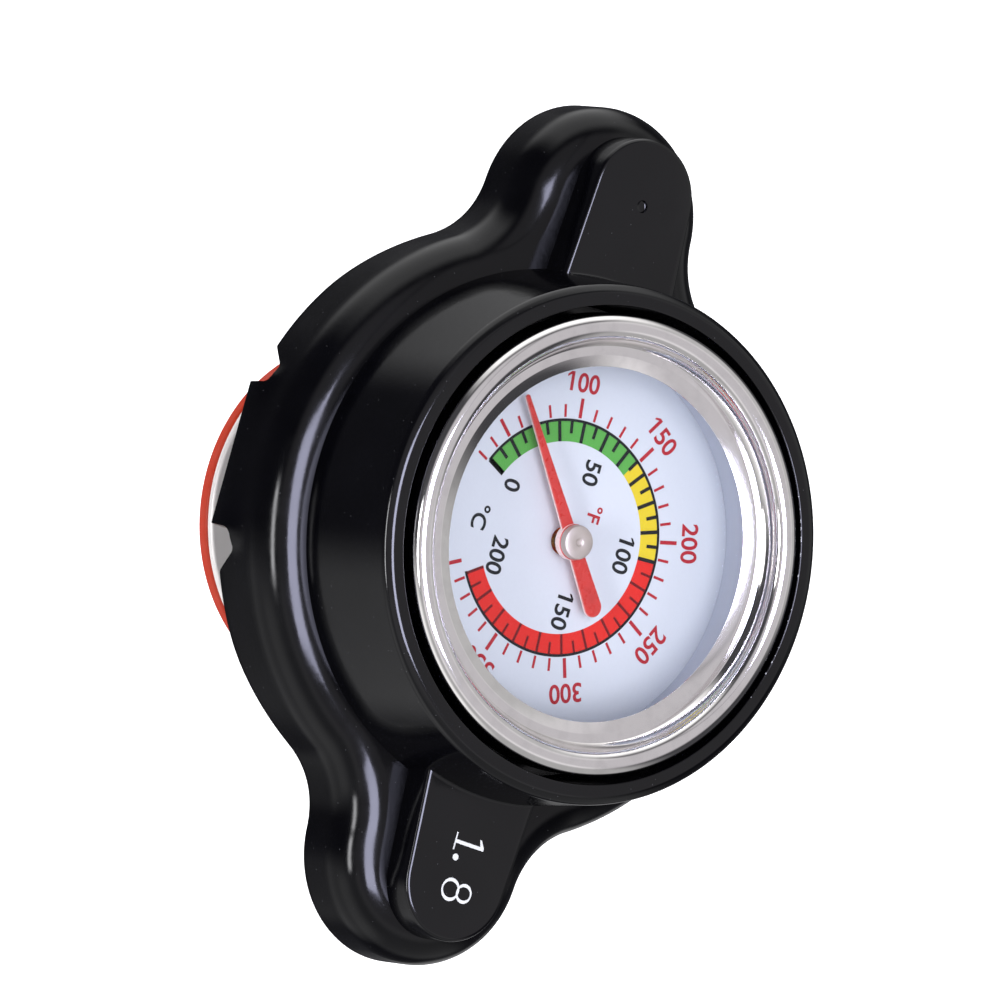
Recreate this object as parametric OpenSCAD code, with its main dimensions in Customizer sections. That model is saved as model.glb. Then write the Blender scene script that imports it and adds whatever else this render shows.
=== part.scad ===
// Pressure cap for a radiator neck with a dial thermometer in its top.
// Millimetres. The origin is the centre of the neck seat, the underside of the upper gasket.
// +Z points out of the dial, X runs along the two wings, the bayonet ears lie at +Y and -Y.

/* [Neck and valve] */
// Depth from the neck seat down to the underside of the lower gasket
valve_depth = 22.5; // [18:0.1:30]
// Outer radius of the lower gasket
valve_gasket_r = 14.2; // [12.5:0.1:16]
// Thickness of the lower gasket
valve_gasket_t = 1.2; // [1:0.1:2.5]
// Thickness of the valve plate
valve_plate_t = 0.6; // [0.5:0.1:1.2]
// Step from the rim of the lower gasket in to the rim of the valve plate
valve_plate_inset = 0.1; // [0.1:0.1:1.5]
// Thickness of the upper gasket that seals on the neck rim
seat_gasket_t = 1.6; // [1.2:0.1:2.5]
// Width of the upper gasket's ring
seat_gasket_w = 3.7; // [2.5:0.1:4.5]
// Thickness of the spring disc above the upper gasket
disc_t = 0.5; // [0.3:0.1:0.8]
// Gap between the lower gasket's rim and the upper gasket's bore
seat_gap = 0.4; // [0.2:0.1:1]
// Gap between the spring disc's rim and the skirt
disc_gap = 2.2; // [1:0.1:3]

/* [Cap shell] */
// Thickness of the pressed sheet
sheet_t = 1.2; // [0.8:0.1:1.6]
// Width of the shoulder from the boss out to the skirt
shoulder_w = 3.85; // [3.5:0.05:6]
// Distance from the skirt's radius out to the centre of a wing's round end
wing_out = 1.75; // [0:0.05:4]
// Radius of the hollow curve between the body and a wing
fillet_r = 7.07; // [5:0.01:9]
// Rounding of the shell's top edge
edge_r = 3.3; // [2:0.1:3.5]
// Height of the shell from its top to the lower edge of the skirt
skirt_h = 7.8; // [7:0.1:10]
// Height of a wing's lower edge above the skirt's
wing_lift = 1.15; // [0.5:0.05:2.5]
// Distance from the axis to where the lower edge starts to rise
lift_x = 14; // [12:0.1:16]
// Width of a bayonet ear
ear_w = 11.6; // [8:0.1:14]
// Sideways shift of an ear from the middle of its side
ear_shift = 0.7; // [0:0.1:1.5]
// Gap from the upper gasket's rim to an ear's inner edge
ear_gap = 0.5; // [0.3:0.1:1]
// Lean of the flattened skirt above an ear's fold
ear_lean = 0.8; // [0.4:0.1:1]
// Width of the relief notch at each end of an ear
notch_w = 2; // [1.6:0.1:3]
// Height of a relief notch
notch_h = 2.3; // [1.6:0.1:3.2]

/* [Gauge housing] */
// Height of the round boss above the shell
boss_h = 10.3; // [9.9:0.1:10.9]
// Wall of the boss at its foot
boss_wall = 1.65; // [1.3:0.05:2.5]
// Draft of the boss's outside from its foot to its front
boss_draft = 0.7; // [0.2:0.05:0.9]
// Rounding of the boss's front edge
boss_edge_r = 0.25; // [0.1:0.05:0.6]
// Thickness of the floor under the gauge
floor_t = 1.9; // [1.6:0.1:2.2]
// Height of the arms above the shell
pad_h = 2.8; // [2.2:0.1:4]
// Radius of an arm's round end
pad_tip_r = 4.4; // [3.5:0.1:6]
// Distance from the wing's end centre out to the arm's end centre
pad_out = 1.6; // [0:0.1:2]
// Taper of an arm's sides
pad_taper = 4.4; // [1:0.1:7]
// Flat margin of the wing beside an arm's end
pad_margin = 1.08; // [0.4:0.01:2]
// Radius of the dimple in one arm
dimple_r = 0.5; // [0.3:0.1:0.8]
// Depth of that dimple
dimple_h = 0.25; // [0.1:0.05:0.4]
// Width of the seal between the floor and the gauge
case_seal_w = 1.5; // [1:0.1:2]
// Height of that seal
case_seal_h = 0.75; // [0.5:0.05:1]
// Distance from the wing's end centre out to the screw in the wing
screw_out = 1.25; // [0.4:0.05:1.5]
// Thread radius of the screws in the wings
screw_r = 1.25; // [1:0.05:1.5]
// Head radius of those screws
screw_head_r = 2.2; // [1.8:0.1:3]
// Head height of those screws
screw_head_h = 1.3; // [0.8:0.1:1.4]
// Depth of the cross recess in a screw's head
recess_h = 0.7; // [0.4:0.1:0.7]
// Depth of arm left above a screw's end
screw_cover = 0.8; // [0.5:0.1:1.2]

/* [Gauge] */
// Radius of the dial plate and the lens
dial_r = 16.2; // [14:0.1:18]
// Thickness of the dial plate
dial_t = 0.4; // [0.3:0.1:0.6]
// Height of the dial plate's seat above the case's underside
dial_seat_h = 2.2; // [2.2:0.1:3]
// Width of that seat
dial_seat_w = 1.2; // [0.8:0.1:2]
// Wall of the case
case_wall = 0.8; // [0.5:0.05:1.2]
// Floor of the case
case_floor_t = 0.6; // [0.4:0.1:0.8]
// Width of the case's outer rim
rim_w = 0.5; // [0.3:0.05:0.8]
// Height of that rim
rim_h = 0.8; // [0.5:0.1:1.2]
// Height of the spacer between dial and lens
spacer_h = 3.2; // [2.6:0.1:4]
// Width of that spacer
spacer_w = 0.8; // [0.5:0.1:1.2]
// Thickness of the lens
lens_t = 1.1; // [1:0.1:2]
// Thickness of the lens gasket
lens_gasket_t = 0.3; // [0.2:0.1:0.6]
// Width of the lens gasket
lens_gasket_w = 2; // [1.2:0.1:2.2]
// Sheet of the bezel
bezel_t = 0.35; // [0.3:0.05:0.5]
// Radius of the bezel's rolled bead
bead_r = 1; // [0.7:0.05:1.05]
// Height of the bead's centre above the lens gasket
bead_z = 0.95; // [0.8:0.05:1.1]
// Width of the slope from the bead down to the bezel's flat ring
slope_w = 0.55; // [0.2:0.05:0.9]
// Radius of the bezel's opening
view_r = 13.85; // [12:0.05:14.2]
// Gap round the bezel in the boss
bezel_gap = 0.65; // [0.3:0.05:1.5]

/* [Pointer] */
// Angle of the pointer at rest, from +X
rest_angle = 38.6; // [0:0.1:65]
// Reach of the pointer's tip
tip_reach = 12.4; // [9:0.1:13]
// Half width of the blade at the tip
tip_hw = 0.22; // [0.1:0.01:0.3]
// Half width of the blade at the hub
blade_hw = 0.62; // [0.4:0.01:0.9]
// Reach of the tail
tail_reach = 6.3; // [3:0.1:7]
// Radius of the tail's round end
tail_r = 0.8; // [0.6:0.05:1.2]
// Thickness of the blade
blade_t = 0.3; // [0.2:0.05:0.4]
// Radius of the pointer's boss
pointer_boss_r = 1.6; // [1.4:0.1:2]
// Height of that boss
pointer_boss_h = 0.7; // [0.5:0.1:0.8]
// Gap between the dial and the pointer
pointer_gap = 0.9; // [0.3:0.1:1]
// Radius of the hub cap
hub_cap_r = 1.27; // [1:0.01:1.6]
// Height of the hub cap
hub_cap_h = 0.7; // [0.4:0.1:0.8]

/* [Probe] */
// Outer radius of the probe tube
stem_r = 2.5; // [2.2:0.1:3]
// Wall of the probe tube
stem_wall = 0.4; // [0.3:0.05:0.5]
// Length of the probe below the lower gasket
probe_below = 8.5; // [7:0.1:20]
// Wall of the threaded collar round the probe
collar_wall = 2; // [1.6:0.1:2.5]
// Radius of the spindle
spindle_r = 0.5; // [0.4:0.05:0.6]
// Height of the bush that carries the spindle
bush_h = 1.5; // [1.2:0.1:1.5]
// Mean radius of the bimetal coil
bimetal_r = 1.5; // [1.3:0.05:1.6]
// Thickness of the bimetal strip
bimetal_t = 0.5; // [0.3:0.05:0.6]
// Turns of the bimetal coil
bimetal_turns = 12; // [6:1:14]
// Depth of the bimetal coil's top below the neck seat
bimetal_top = 7.9; // [6:0.1:12]

/* [Valve group] */
// Thickness of the nut on the collar
nut_t = 1.4; // [1:0.1:2]
// Width of the nut's ring at its corners
nut_w = 3; // [2:0.1:4]
// Sheet of the spring cage
cage_t = 0.6; // [0.5:0.1:0.8]
// Wall of the spring cage's tube
cage_wall = 0.8; // [0.5:0.1:1]
// Length of the spring cage below the neck seat
cage_depth = 12.4; // [10:0.1:13]
// Thickness of the cage's inner lip
cage_lip_t = 0.8; // [0.5:0.1:1]
// Thickness of the clip under the cage
clip_t = 0.7; // [0.5:0.1:1]
// Width of that clip
clip_w = 1.4; // [0.8:0.1:1.6]
// Wire of the main spring
main_wire = 1.8; // [1.2:0.1:2]
// Turns of the main spring
main_turns = 5.25; // [4:0.25:6]
// Gap between the cage and the main spring
main_gap = 1.2; // [0.6:0.1:1.5]
// Margin of the cage's flange outside the main spring
main_margin = 1.3; // [0.6:0.1:2]
// Wall of the valve hub
hub_wall = 0.8; // [0.5:0.1:1]
// Width of the valve hub's top flange
hub_flange_w = 0.7; // [0.5:0.1:1]
// Thickness of that flange
hub_flange_t = 0.6; // [0.4:0.1:0.9]
// Wall of the vacuum valve's sleeve
sleeve_wall = 0.75; // [0.5:0.05:1]
// Wire of the vacuum spring
vacuum_wire = 0.5; // [0.4:0.05:0.6]
// Turns of the vacuum spring
vacuum_turns = 4; // [3:0.25:4.5]
// Length of the vacuum spring at rest
vacuum_spring_l = 5.5; // [5:0.1:6]
// Room round the wire of the vacuum spring, inside and outside
vacuum_room = 0.45; // [0.3:0.05:0.7]
// Thickness of the vacuum clip
vacuum_clip_t = 0.6; // [0.4:0.1:1]
// Thickness of the vacuum disc
vacuum_disc_t = 0.7; // [0.5:0.1:1]
// Thickness of the vacuum seal
vacuum_seal_t = 0.75; // [0.5:0.05:1]
// Thickness of the gasket retainer
retainer_t = 0.6; // [0.5:0.1:1]
// Thickness of the valve plate's crimped lip under the retainer
crimp_t = 0.4; // [0.3:0.05:0.5]
// Number of vent ports
port_count = 6; // [4:1:8]
// Radius of a vent port
port_r = 0.8; // [0.5:0.1:0.9]
// Land of the vacuum seal beside the ports
seal_land = 0.9; // [0.6:0.1:1]

/* [Fits] */
// Radial clearance of a running fit
run_fit = 0.05; // [0.02:0.01:0.1]
// Radial clearance of a part that only drops into its place
drop_fit = 0.1; // [0.05:0.01:0.2]
// Gap between faces that close on each other
face_gap = 0.05; // [0.02:0.01:0.1]

/* [Hidden] */
$fn = 96;
over = 1;

// Heights, upwards from the neck seat
disc_z = seat_gasket_t;
under_z = disc_z + disc_t;
top_z = under_z + sheet_t;
skirt_z = top_z - skirt_h;
pad_z = top_z + pad_h;
front_z = top_z + boss_h;
case_z = top_z + floor_t;
case_floor_z = case_z + case_floor_t;
dial_seat_z = case_z + dial_seat_h;
dial_z = dial_seat_z + dial_t;
lens_z = dial_z + spacer_h;
lens_top_z = lens_z + lens_t;
rim_z = lens_top_z + lens_gasket_t;
bezel_z = rim_z + bead_z;
pointer_z = dial_z + pointer_gap;
blade_z = pointer_z + (pointer_boss_h - blade_t) / 2;
hub_cap_z = pointer_z + pointer_boss_h;

// Heights, downwards from the neck seat
nut_z = disc_z - nut_t;
cage_top_z = nut_z - face_gap;
cage_under_z = cage_top_z - cage_t;
clip_z = cage_under_z - face_gap - clip_t;
collar_end_z = clip_z - face_gap;
lip_z = -cage_depth + cage_lip_t;
hub_flange_z = lip_z + face_gap;
gasket_z = -valve_depth;
plate_z = gasket_z + valve_gasket_t;
plate_top_z = plate_z + valve_plate_t;
retainer_z = gasket_z - retainer_t;
seal_z = retainer_z - face_gap - vacuum_seal_t;
vacuum_z = seal_z - vacuum_disc_t;
vacuum_clip_z = plate_top_z + vacuum_spring_l;
sleeve_top_z = vacuum_clip_z + vacuum_clip_t;
stem_end_z = gasket_z - probe_below + stem_r;

// Radii of the gauge and the cap, from the dial outwards
case_in_r = dial_r + drop_fit;
case_r = case_in_r + case_wall;
rim_r = case_r + rim_w;
bezel_in_r = rim_r + face_gap;
bezel_r = bezel_in_r + bezel_t;
bore_r = bezel_r + bezel_gap;
boss_r = bore_r + boss_wall;
shell_r = boss_r + shoulder_w;
skirt_in_r = shell_r - sheet_t;
wing_x = shell_r + wing_out;
wing_r = pad_tip_r + pad_margin + edge_r;
pad_x = wing_x + pad_out;
screw_x = wing_x + screw_out;

// Radii of the valve group, from the probe outwards
stem_in_r = stem_r - stem_wall;
collar_r = stem_r + collar_wall;
sleeve_in_r = stem_r + run_fit;
sleeve_r = sleeve_in_r + sleeve_wall;
vacuum_coil_r = sleeve_r + vacuum_room + vacuum_wire / 2;
hub_in_r = vacuum_coil_r + vacuum_wire / 2 + vacuum_room;
hub_r = hub_in_r + hub_wall;
hub_flange_r = hub_r + hub_flange_w;
lip_r = hub_r + drop_fit;
cage_in_r = max(hub_flange_r, collar_r + clip_w) + drop_fit;
cage_r = cage_in_r + cage_wall;
main_in_r = cage_r + main_gap;
main_r = main_in_r + main_wire / 2;
cage_flange_r = main_in_r + main_wire + main_margin;
plate_bore_r = sleeve_r + run_fit;
crimp_in_r = plate_bore_r + sleeve_wall;
crimp_r = crimp_in_r + sleeve_wall;
port_x = (hub_r + main_in_r) / 2;
seal_in_r = port_x - port_r - seal_land;
seal_r = port_x + port_r + seal_land;
vacuum_r = seal_r + drop_fit;
retainer_r = vacuum_r + run_fit;
valve_plate_r = valve_gasket_r - valve_plate_inset;
seat_bore_r = valve_gasket_r + seat_gap;
seat_r = seat_bore_r + seat_gasket_w;
ear_in_r = seat_r + ear_gap;
disc_r = skirt_in_r - disc_gap;
groove_r = (collar_r + case_r) / 2;

// A ring from radius r_in to r_out, standing on z with height h
module ring(r_in, r_out, z, h) {
    translate([0, 0, z])
        difference() {
            cylinder(r = r_out, h = h);
            translate([0, 0, -over]) cylinder(r = r_in, h = h + 2 * over);
        }
}

// Points of an arc about centre, each with the direction that faces out of the sheet there
function arc(centre, r, out, from, to, steps, first) =
    [for (i = [first:steps])
        let (angle = from + (to - from) * i / steps, ray = [cos(angle), sin(angle)])
        [centre + r * ray, out * ray]];

// One quarter of the cap's plan, from a wing's end round to the side of the body:
// the wing's round end, the hollow curve and the round body, each tangent to the next
function plan_quarter() =
    let (reach = shell_r + fillet_r,
         cx = (pow(reach, 2) - pow(wing_r + fillet_r, 2) + pow(wing_x, 2)) / (2 * wing_x),
         cy = sqrt(pow(reach, 2) - pow(cx, 2)),
         body_a = atan2(cy, cx),
         wing_a = atan2(cy, cx - wing_x))
    concat(arc([wing_x, 0], wing_r, 1, 0, wing_a, 12, 0),
           arc([cx, cy], fillet_r, -1, 180 + wing_a, 180 + body_a, 8, 1),
           arc([0, 0], shell_r, 1, body_a, 90, 12, 1));

// The whole plan, anticlockwise from the end of the wing at +X
function plan_loop() =
    let (quarter = plan_quarter(), last = len(quarter) - 1)
    concat(quarter,
           [for (i = [last - 1:-1:0]) [for (v = quarter[i]) [-v.x, v.y]]],
           [for (i = [1:last]) [for (v = quarter[i]) [-v.x, -v.y]]],
           [for (i = [last - 1:-1:1]) [for (v = quarter[i]) [v.x, -v.y]]]);

// Height of the lower edge: deeper at the round skirt, and rising smoothly under the wings
function lower_edge(x) =
    let (run = min(1, max(0, (abs(x) - lift_x) / (shell_r - lift_x))))
    skirt_z + wing_lift * (1 - cos(180 * run)) / 2;

// The pressed sheet: an outer and an inner skin along the plan, joined at the lower edge
module pressed_sheet() {
    loop = plan_loop();
    count = len(loop);
    edge_steps = 5;
    bend = [for (i = [0:edge_steps]) 90 * i / edge_steps];
    outer = [for (a = bend) [edge_r - edge_r * cos(a), top_z - edge_r + edge_r * sin(a)]];
    inner_r = edge_r - sheet_t;
    inner = [for (i = [edge_steps:-1:0])
        [edge_r - inner_r * cos(bend[i]), top_z - edge_r + inner_r * sin(bend[i])]];
    section = concat([[0, undef]], outer, inner, [[sheet_t, undef]]);
    rows = len(section);
    points = [for (row = section, at = loop)
        let (spot = at[0] - row[0] * at[1])
        [spot.x, spot.y, is_undef(row[1]) ? lower_edge(spot.x) : row[1]]];
    cap = edge_steps + 1;
    walls = [for (r = [0:rows - 1], i = [0:count - 1])
        if (r != cap)
            let (a = r * count + i, a2 = r * count + (i + 1) % count,
                 b = (r + 1) % rows * count + i, b2 = (r + 1) % rows * count + (i + 1) % count)
            each [[a, b, b2], [a, b2, a2]]];
    half = count / 2;
    strips = [for (i = [0:half - 1])
        let (m = (count - i) % count, m2 = count - i - 1)
        each [[i, m, m2], [i, m2, i + 1]]];
    flat = [for (f = strips) if (f[0] != f[1] && f[1] != f[2]) f];
    top = [for (f = flat) [for (v = f) v + cap * count]];
    under = [for (f = flat) [for (v = f) v + (cap + 1) * count]];
    polyhedron(points = points,
               faces = concat(walls, top, [for (f = under) [f[0], f[2], f[1]]]));
}

// One bayonet ear at +Y: the skirt is flattened along the fold and turned inwards
module ear() {
    fold = shell_r - sheet_t;
    rotate([90, 0, 90])
        linear_extrude(ear_w, center = true) {
            translate([ear_in_r, skirt_z]) square([fold - ear_in_r, sheet_t]);
            translate([fold, skirt_z + sheet_t])
                intersection() {
                    circle(r = sheet_t);
                    translate([0, -sheet_t]) square(sheet_t);
                }
            polygon([[fold, skirt_z + sheet_t], [shell_r, skirt_z + sheet_t],
                     [shell_r - ear_lean, skirt_z + sheet_t + notch_h],
                     [fold - ear_lean, skirt_z + sheet_t + notch_h]]);
        }
}

// The relief notch at one end of an ear: round at its top, and flared where it meets the skirt's lower edge
module notch() {
    reach = shell_r - ear_in_r + over;
    half = notch_w / 2;
    flare = notch_h - half;
    steps = 12;
    top = [for (i = [0:steps]) [-half * cos(180 * i / steps), flare + half * sin(180 * i / steps)]];
    foot = [for (i = [1:steps]) [half + flare - flare * cos(90 * i / steps), flare - flare * sin(90 * i / steps)]];
    translate([0, ear_in_r + reach, skirt_z])
        rotate([90, 0, 0])
            linear_extrude(reach)
                polygon(concat([[-half, -over]], top, foot, [[half + flare, -over]]));
}

module cap_shell() {
    color("#161618")
        difference() {
            union() {
                pressed_sheet();
                for (side = [0, 180])
                    rotate([0, 0, side]) translate([-ear_shift, 0, 0]) ear();
            }
            for (side = [0, 180], end = [-1, 1])
                rotate([0, 0, side])
                    translate([-ear_shift + end * (ear_w + notch_w) / 2, 0, 0])
                        scale([end, 1, 1]) notch();
            translate([0, 0, under_z - over]) cylinder(r = collar_r + run_fit, h = sheet_t + 2 * over);
            for (side = [-1, 1])
                translate([side * screw_x, 0, under_z - over])
                    cylinder(r = screw_r + drop_fit, h = sheet_t + 2 * over);
        }
}

// Plan of one arm: straight tapered sides that run tangent into the round end
module pad_plan() {
    root = (pad_x * sin(pad_taper) + pad_tip_r) / cos(pad_taper);
    steps = 32;
    sweep = 90 - pad_taper;
    tip = [for (i = [0:steps])
        let (angle = sweep * (2 * i / steps - 1))
        [pad_x + pad_tip_r * cos(angle), pad_tip_r * sin(angle)]];
    polygon(concat([[0, -root]], tip, [[0, root]]));
}

// Half section of the boss: a drafted wall and a rounded front edge, tangent to each other
module boss_section() {
    lean = atan(boss_draft / boss_h);
    edge_z = front_z - boss_edge_r;
    edge_x = boss_r - boss_edge_r / cos(lean) - (edge_z - top_z) * tan(lean);
    steps = 6;
    edge = [for (i = [0:steps])
        let (angle = lean + (90 - lean) * i / steps)
        [edge_x + boss_edge_r * cos(angle), edge_z + boss_edge_r * sin(angle)]];
    polygon(concat([[0, top_z], [boss_r, top_z]], edge, [[0, front_z]]));
}

module gauge_housing() {
    color("#131315")
        difference() {
            union() {
                rotate_extrude() boss_section();
                for (side = [0, 180])
                    rotate([0, 0, side]) translate([0, 0, top_z]) linear_extrude(pad_h) pad_plan();
            }
            translate([0, 0, case_z]) cylinder(r = bore_r, h = boss_h);
            translate([0, 0, top_z - over]) cylinder(r = collar_r + run_fit, h = floor_t + 2 * over);
            ring(groove_r, groove_r + case_seal_w, case_z - case_seal_h, case_seal_h + over);
            for (side = [-1, 1])
                translate([side * screw_x, 0, top_z - over])
                    cylinder(r = screw_r + run_fit, h = pad_h - screw_cover + over + face_gap);
            translate([screw_x, 0, pad_z - dimple_h]) cylinder(r = dimple_r, h = dimple_h + over);
        }
}

module wing_screw() {
    length = sheet_t + pad_h - screw_cover;
    translate([0, 0, under_z]) cylinder(r = screw_r, h = length);
    difference() {
        translate([0, 0, under_z - screw_head_h]) cylinder(r = screw_head_r, h = screw_head_h);
        for (turn = [0, 90])
            rotate([0, 0, turn])
                translate([-screw_r, -screw_r / 4, under_z - screw_head_h - over])
                    cube([2 * screw_r, screw_r / 2, recess_h + over]);
    }
}

module wing_screws() {
    color("#b9bcc0")
        for (side = [-1, 1]) translate([side * screw_x, 0, 0]) wing_screw();
}

module gauge_case() {
    hole = stem_r;
    seat = case_in_r - dial_seat_w;
    color("#a9adb2")
        rotate_extrude()
            polygon([[hole, case_z], [case_r, case_z], [case_r, rim_z - rim_h], [rim_r, rim_z - rim_h],
                     [rim_r, rim_z], [case_in_r, rim_z], [case_in_r, dial_seat_z], [seat, dial_seat_z],
                     [seat, case_floor_z], [hole, case_floor_z]]);
}

module case_seal() {
    color("#202020") ring(groove_r, groove_r + case_seal_w, case_z - case_seal_h, case_seal_h);
}

// The bezel: a rolled bead, a short slope down to a flat ring, and a skirt crimped under the case's rim
module bezel_section() {
    bead_x = bezel_r - bead_r;
    bead_in_x = bead_x - bead_r;
    flat_z = rim_z + bezel_t;
    intersection() {
        translate([bead_x, bezel_z])
            difference() {
                circle(r = bead_r);
                circle(r = bead_r - bezel_t);
            }
        translate([bead_in_x, bezel_z]) square([2 * bead_r, bead_r]);
    }
    polygon([[view_r, rim_z], [bead_in_x + bezel_t, rim_z], [bead_in_x + bezel_t, bezel_z],
             [bead_in_x, bezel_z], [bead_in_x - slope_w, flat_z], [view_r, flat_z]]);
    translate([bezel_in_r, rim_z - rim_h - face_gap - bezel_t])
        square([bezel_t, bezel_z - rim_z + rim_h + face_gap + bezel_t]);
    translate([case_r + face_gap, rim_z - rim_h - face_gap - bezel_t])
        square([bezel_in_r - case_r, bezel_t]);
}

module bezel_ring() {
    color("#c9c9c6") rotate_extrude() bezel_section();
}

module lens() {
    color("#e8f0f4", 0.3) translate([0, 0, lens_z]) cylinder(r = dial_r, h = lens_t);
}

module lens_gasket() {
    color("#2a2a2a") ring(dial_r - lens_gasket_w, dial_r, lens_top_z, lens_gasket_t);
}

module spacer_ring() {
    color("#f2f2f2") ring(dial_r - spacer_w, dial_r, dial_z, spacer_h);
}

module dial_plate() {
    color("#e2e6f0") ring(2 * spindle_r + drop_fit, dial_r, dial_seat_z, dial_t);
}

// Plan of the pointer along +X: a tapered blade and a tail with a round end
module pointer_plan() {
    polygon([[0, -blade_hw], [tip_reach, -tip_hw], [tip_reach, tip_hw], [0, blade_hw]]);
    polygon([[0, -blade_hw], [0, blade_hw], [tail_r - tail_reach, tail_r], [tail_r - tail_reach, -tail_r]]);
    translate([tail_r - tail_reach, 0]) circle(r = tail_r);
}

module pointer() {
    color("#d24a44")
        rotate([0, 0, rest_angle])
            difference() {
                union() {
                    translate([0, 0, blade_z]) linear_extrude(blade_t) pointer_plan();
                    translate([0, 0, pointer_z]) cylinder(r = pointer_boss_r, h = pointer_boss_h);
                }
                translate([0, 0, pointer_z - over])
                    cylinder(r = spindle_r, h = pointer_boss_h + 2 * over);
            }
}

module pointer_hub() {
    color("#b5a99a")
        difference() {
            translate([0, 0, hub_cap_z]) cylinder(r = hub_cap_r, h = hub_cap_h);
            translate([0, 0, hub_cap_z - over]) cylinder(r = spindle_r, h = hub_cap_h / 2 + over);
        }
}

module spindle() {
    low = -bimetal_top + face_gap;
    arm_t = 2 * spindle_r;
    color("#c0c0c0") {
        translate([0, 0, low]) cylinder(r = spindle_r, h = hub_cap_z + hub_cap_h / 2 - low);
        translate([0, 0, low]) cylinder(r = bimetal_r, h = arm_t);
    }
}

module spindle_bush() {
    color("#c8a24a") ring(spindle_r + run_fit, stem_in_r + stem_wall + drop_fit, case_floor_z, bush_h);
}

module stem_collar() {
    color("#c2a35a") ring(stem_r, collar_r, collar_end_z, case_z - collar_end_z);
}

module probe_stem() {
    color("#b8bcc0") ring(stem_in_r, stem_r, stem_end_z, case_floor_z - stem_end_z);
}

module probe_tip() {
    spigot = 2 * stem_in_r;
    color("#b8bcc0") {
        translate([0, 0, stem_end_z]) cylinder(r = stem_in_r - run_fit, h = spigot);
        intersection() {
            translate([0, 0, stem_end_z]) sphere(r = stem_r);
            translate([0, 0, stem_end_z - stem_r]) cylinder(r = stem_r + over, h = stem_r);
        }
    }
}

// Height along a coil after some turns, level at both ends over a quarter turn
function coil_rise(turn, turns) =
    let (ease = 0.25)
    turn < ease ? turn * turn / (2 * ease) :
    turn > turns - ease ? turns - ease - pow(turns - turn, 2) / (2 * ease) : turn - ease / 2;

// Points along a coil's wire, with a straight run of one wire diameter at each end
function coil_path(r, wire, z0, z1, turns) =
    let (steps = round(8 * turns),
         slope = (z1 - z0) / (turns - 0.25),
         bent = [for (i = [0:steps])
             let (turn = turns * i / steps)
             [r * cos(360 * turn), r * sin(360 * turn), z0 + slope * coil_rise(turn, turns)]],
         last = 360 * turns)
    concat([bent[0] - [0, wire, 0]], bent, [bent[steps] + wire * [-sin(last), cos(last), 0]]);

// Least distance between the wire's centre line and itself half a turn or more away, less the wire
function coil_gap(path, wire) =
    min([for (i = [0:len(path) - 1], j = [i + 5:1:len(path) - 1]) norm(path[i] - path[j])]) - wire;

// One unbroken tube of six sides along a coil
module coil(name, r, wire, z0, z1, turns) {
    sides = 6;
    path = coil_path(r, wire, z0 + wire / 2, z1 - wire / 2, turns);
    count = len(path);
    echo(str(name, " least gap to itself ", coil_gap(path, wire)));
    points = [for (i = [0:count - 1])
        let (ahead = path[min(i + 1, count - 1)] - path[max(i - 1, 0)],
             along = ahead / norm(ahead),
             flat = cross(along, [0, 0, 1]),
             out = flat / norm(flat),
             up = cross(out, along))
        for (s = [0:sides - 1])
            path[i] + wire / 2 * (cos(360 * s / sides) * out + sin(360 * s / sides) * up)];
    walls = [for (i = [0:count - 2], s = [0:sides - 1])
        let (a = i * sides + s, b = i * sides + (s + 1) % sides)
        each [[a, a + sides, b], [b, a + sides, b + sides]]];
    start = [for (s = [1:sides - 2]) [0, s, s + 1]];
    tail = (count - 1) * sides;
    finish = [for (s = [1:sides - 2]) [tail, tail + s + 1, tail + s]];
    polyhedron(points = points, faces = concat(walls, start, finish));
}

module bimetal_coil() {
    color("#b08d57")
        coil("bimetal_coil", bimetal_r, bimetal_t, stem_end_z + 2 * stem_in_r + face_gap,
             -bimetal_top - face_gap, bimetal_turns);
}

module stem_nut() {
    color("#c2a35a")
        difference() {
            translate([0, 0, nut_z]) cylinder(r = collar_r + nut_w, h = nut_t, $fn = 6);
            translate([0, 0, nut_z - over]) cylinder(r = collar_r, h = nut_t + 2 * over);
        }
}

module spring_disc() {
    color("#b9a57a") ring(collar_r + run_fit, disc_r, disc_z, disc_t);
}

module upper_gasket() {
    color("#26262a") ring(seat_bore_r, seat_r, 0, seat_gasket_t);
}

module spring_cage() {
    color("#b4b6b8")
        rotate_extrude()
            polygon([[collar_r + run_fit, cage_top_z], [cage_flange_r, cage_top_z],
                     [cage_flange_r, cage_under_z], [cage_r, cage_under_z], [cage_r, -cage_depth],
                     [lip_r, -cage_depth], [lip_r, lip_z], [cage_in_r, lip_z],
                     [cage_in_r, cage_under_z], [collar_r + run_fit, cage_under_z]]);
}

module cage_clip() {
    color("#8f9296") ring(collar_r, collar_r + clip_w, clip_z, clip_t);
}

module main_spring() {
    color("#a6a8aa")
        coil("main_spring", main_r, main_wire, plate_top_z + face_gap, cage_under_z - face_gap, main_turns);
}

// Vent ports through a disc of the valve
module ports(z, h) {
    for (i = [0:port_count - 1])
        rotate([0, 0, 360 * i / port_count])
            translate([port_x, 0, z - over]) cylinder(r = port_r, h = h + 2 * over);
}

module valve_plate() {
    color("#c4c6c8")
        difference() {
            union() {
                ring(plate_bore_r, valve_plate_r, plate_z, valve_plate_t);
                ring(plate_bore_r, crimp_in_r, retainer_z - crimp_t, plate_z - retainer_z + crimp_t);
                ring(plate_bore_r, crimp_r, retainer_z - crimp_t, crimp_t);
            }
            ports(plate_z, valve_plate_t);
        }
}

module valve_hub() {
    color("#b4b6b8") {
        ring(hub_in_r, hub_r, plate_top_z, hub_flange_z + hub_flange_t - plate_top_z);
        ring(hub_in_r, hub_flange_r, hub_flange_z, hub_flange_t);
    }
}

module lower_gasket() {
    color("#e0522c")
        difference() {
            ring(crimp_in_r, valve_gasket_r, gasket_z, valve_gasket_t);
            ports(gasket_z, valve_gasket_t);
        }
}

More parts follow.
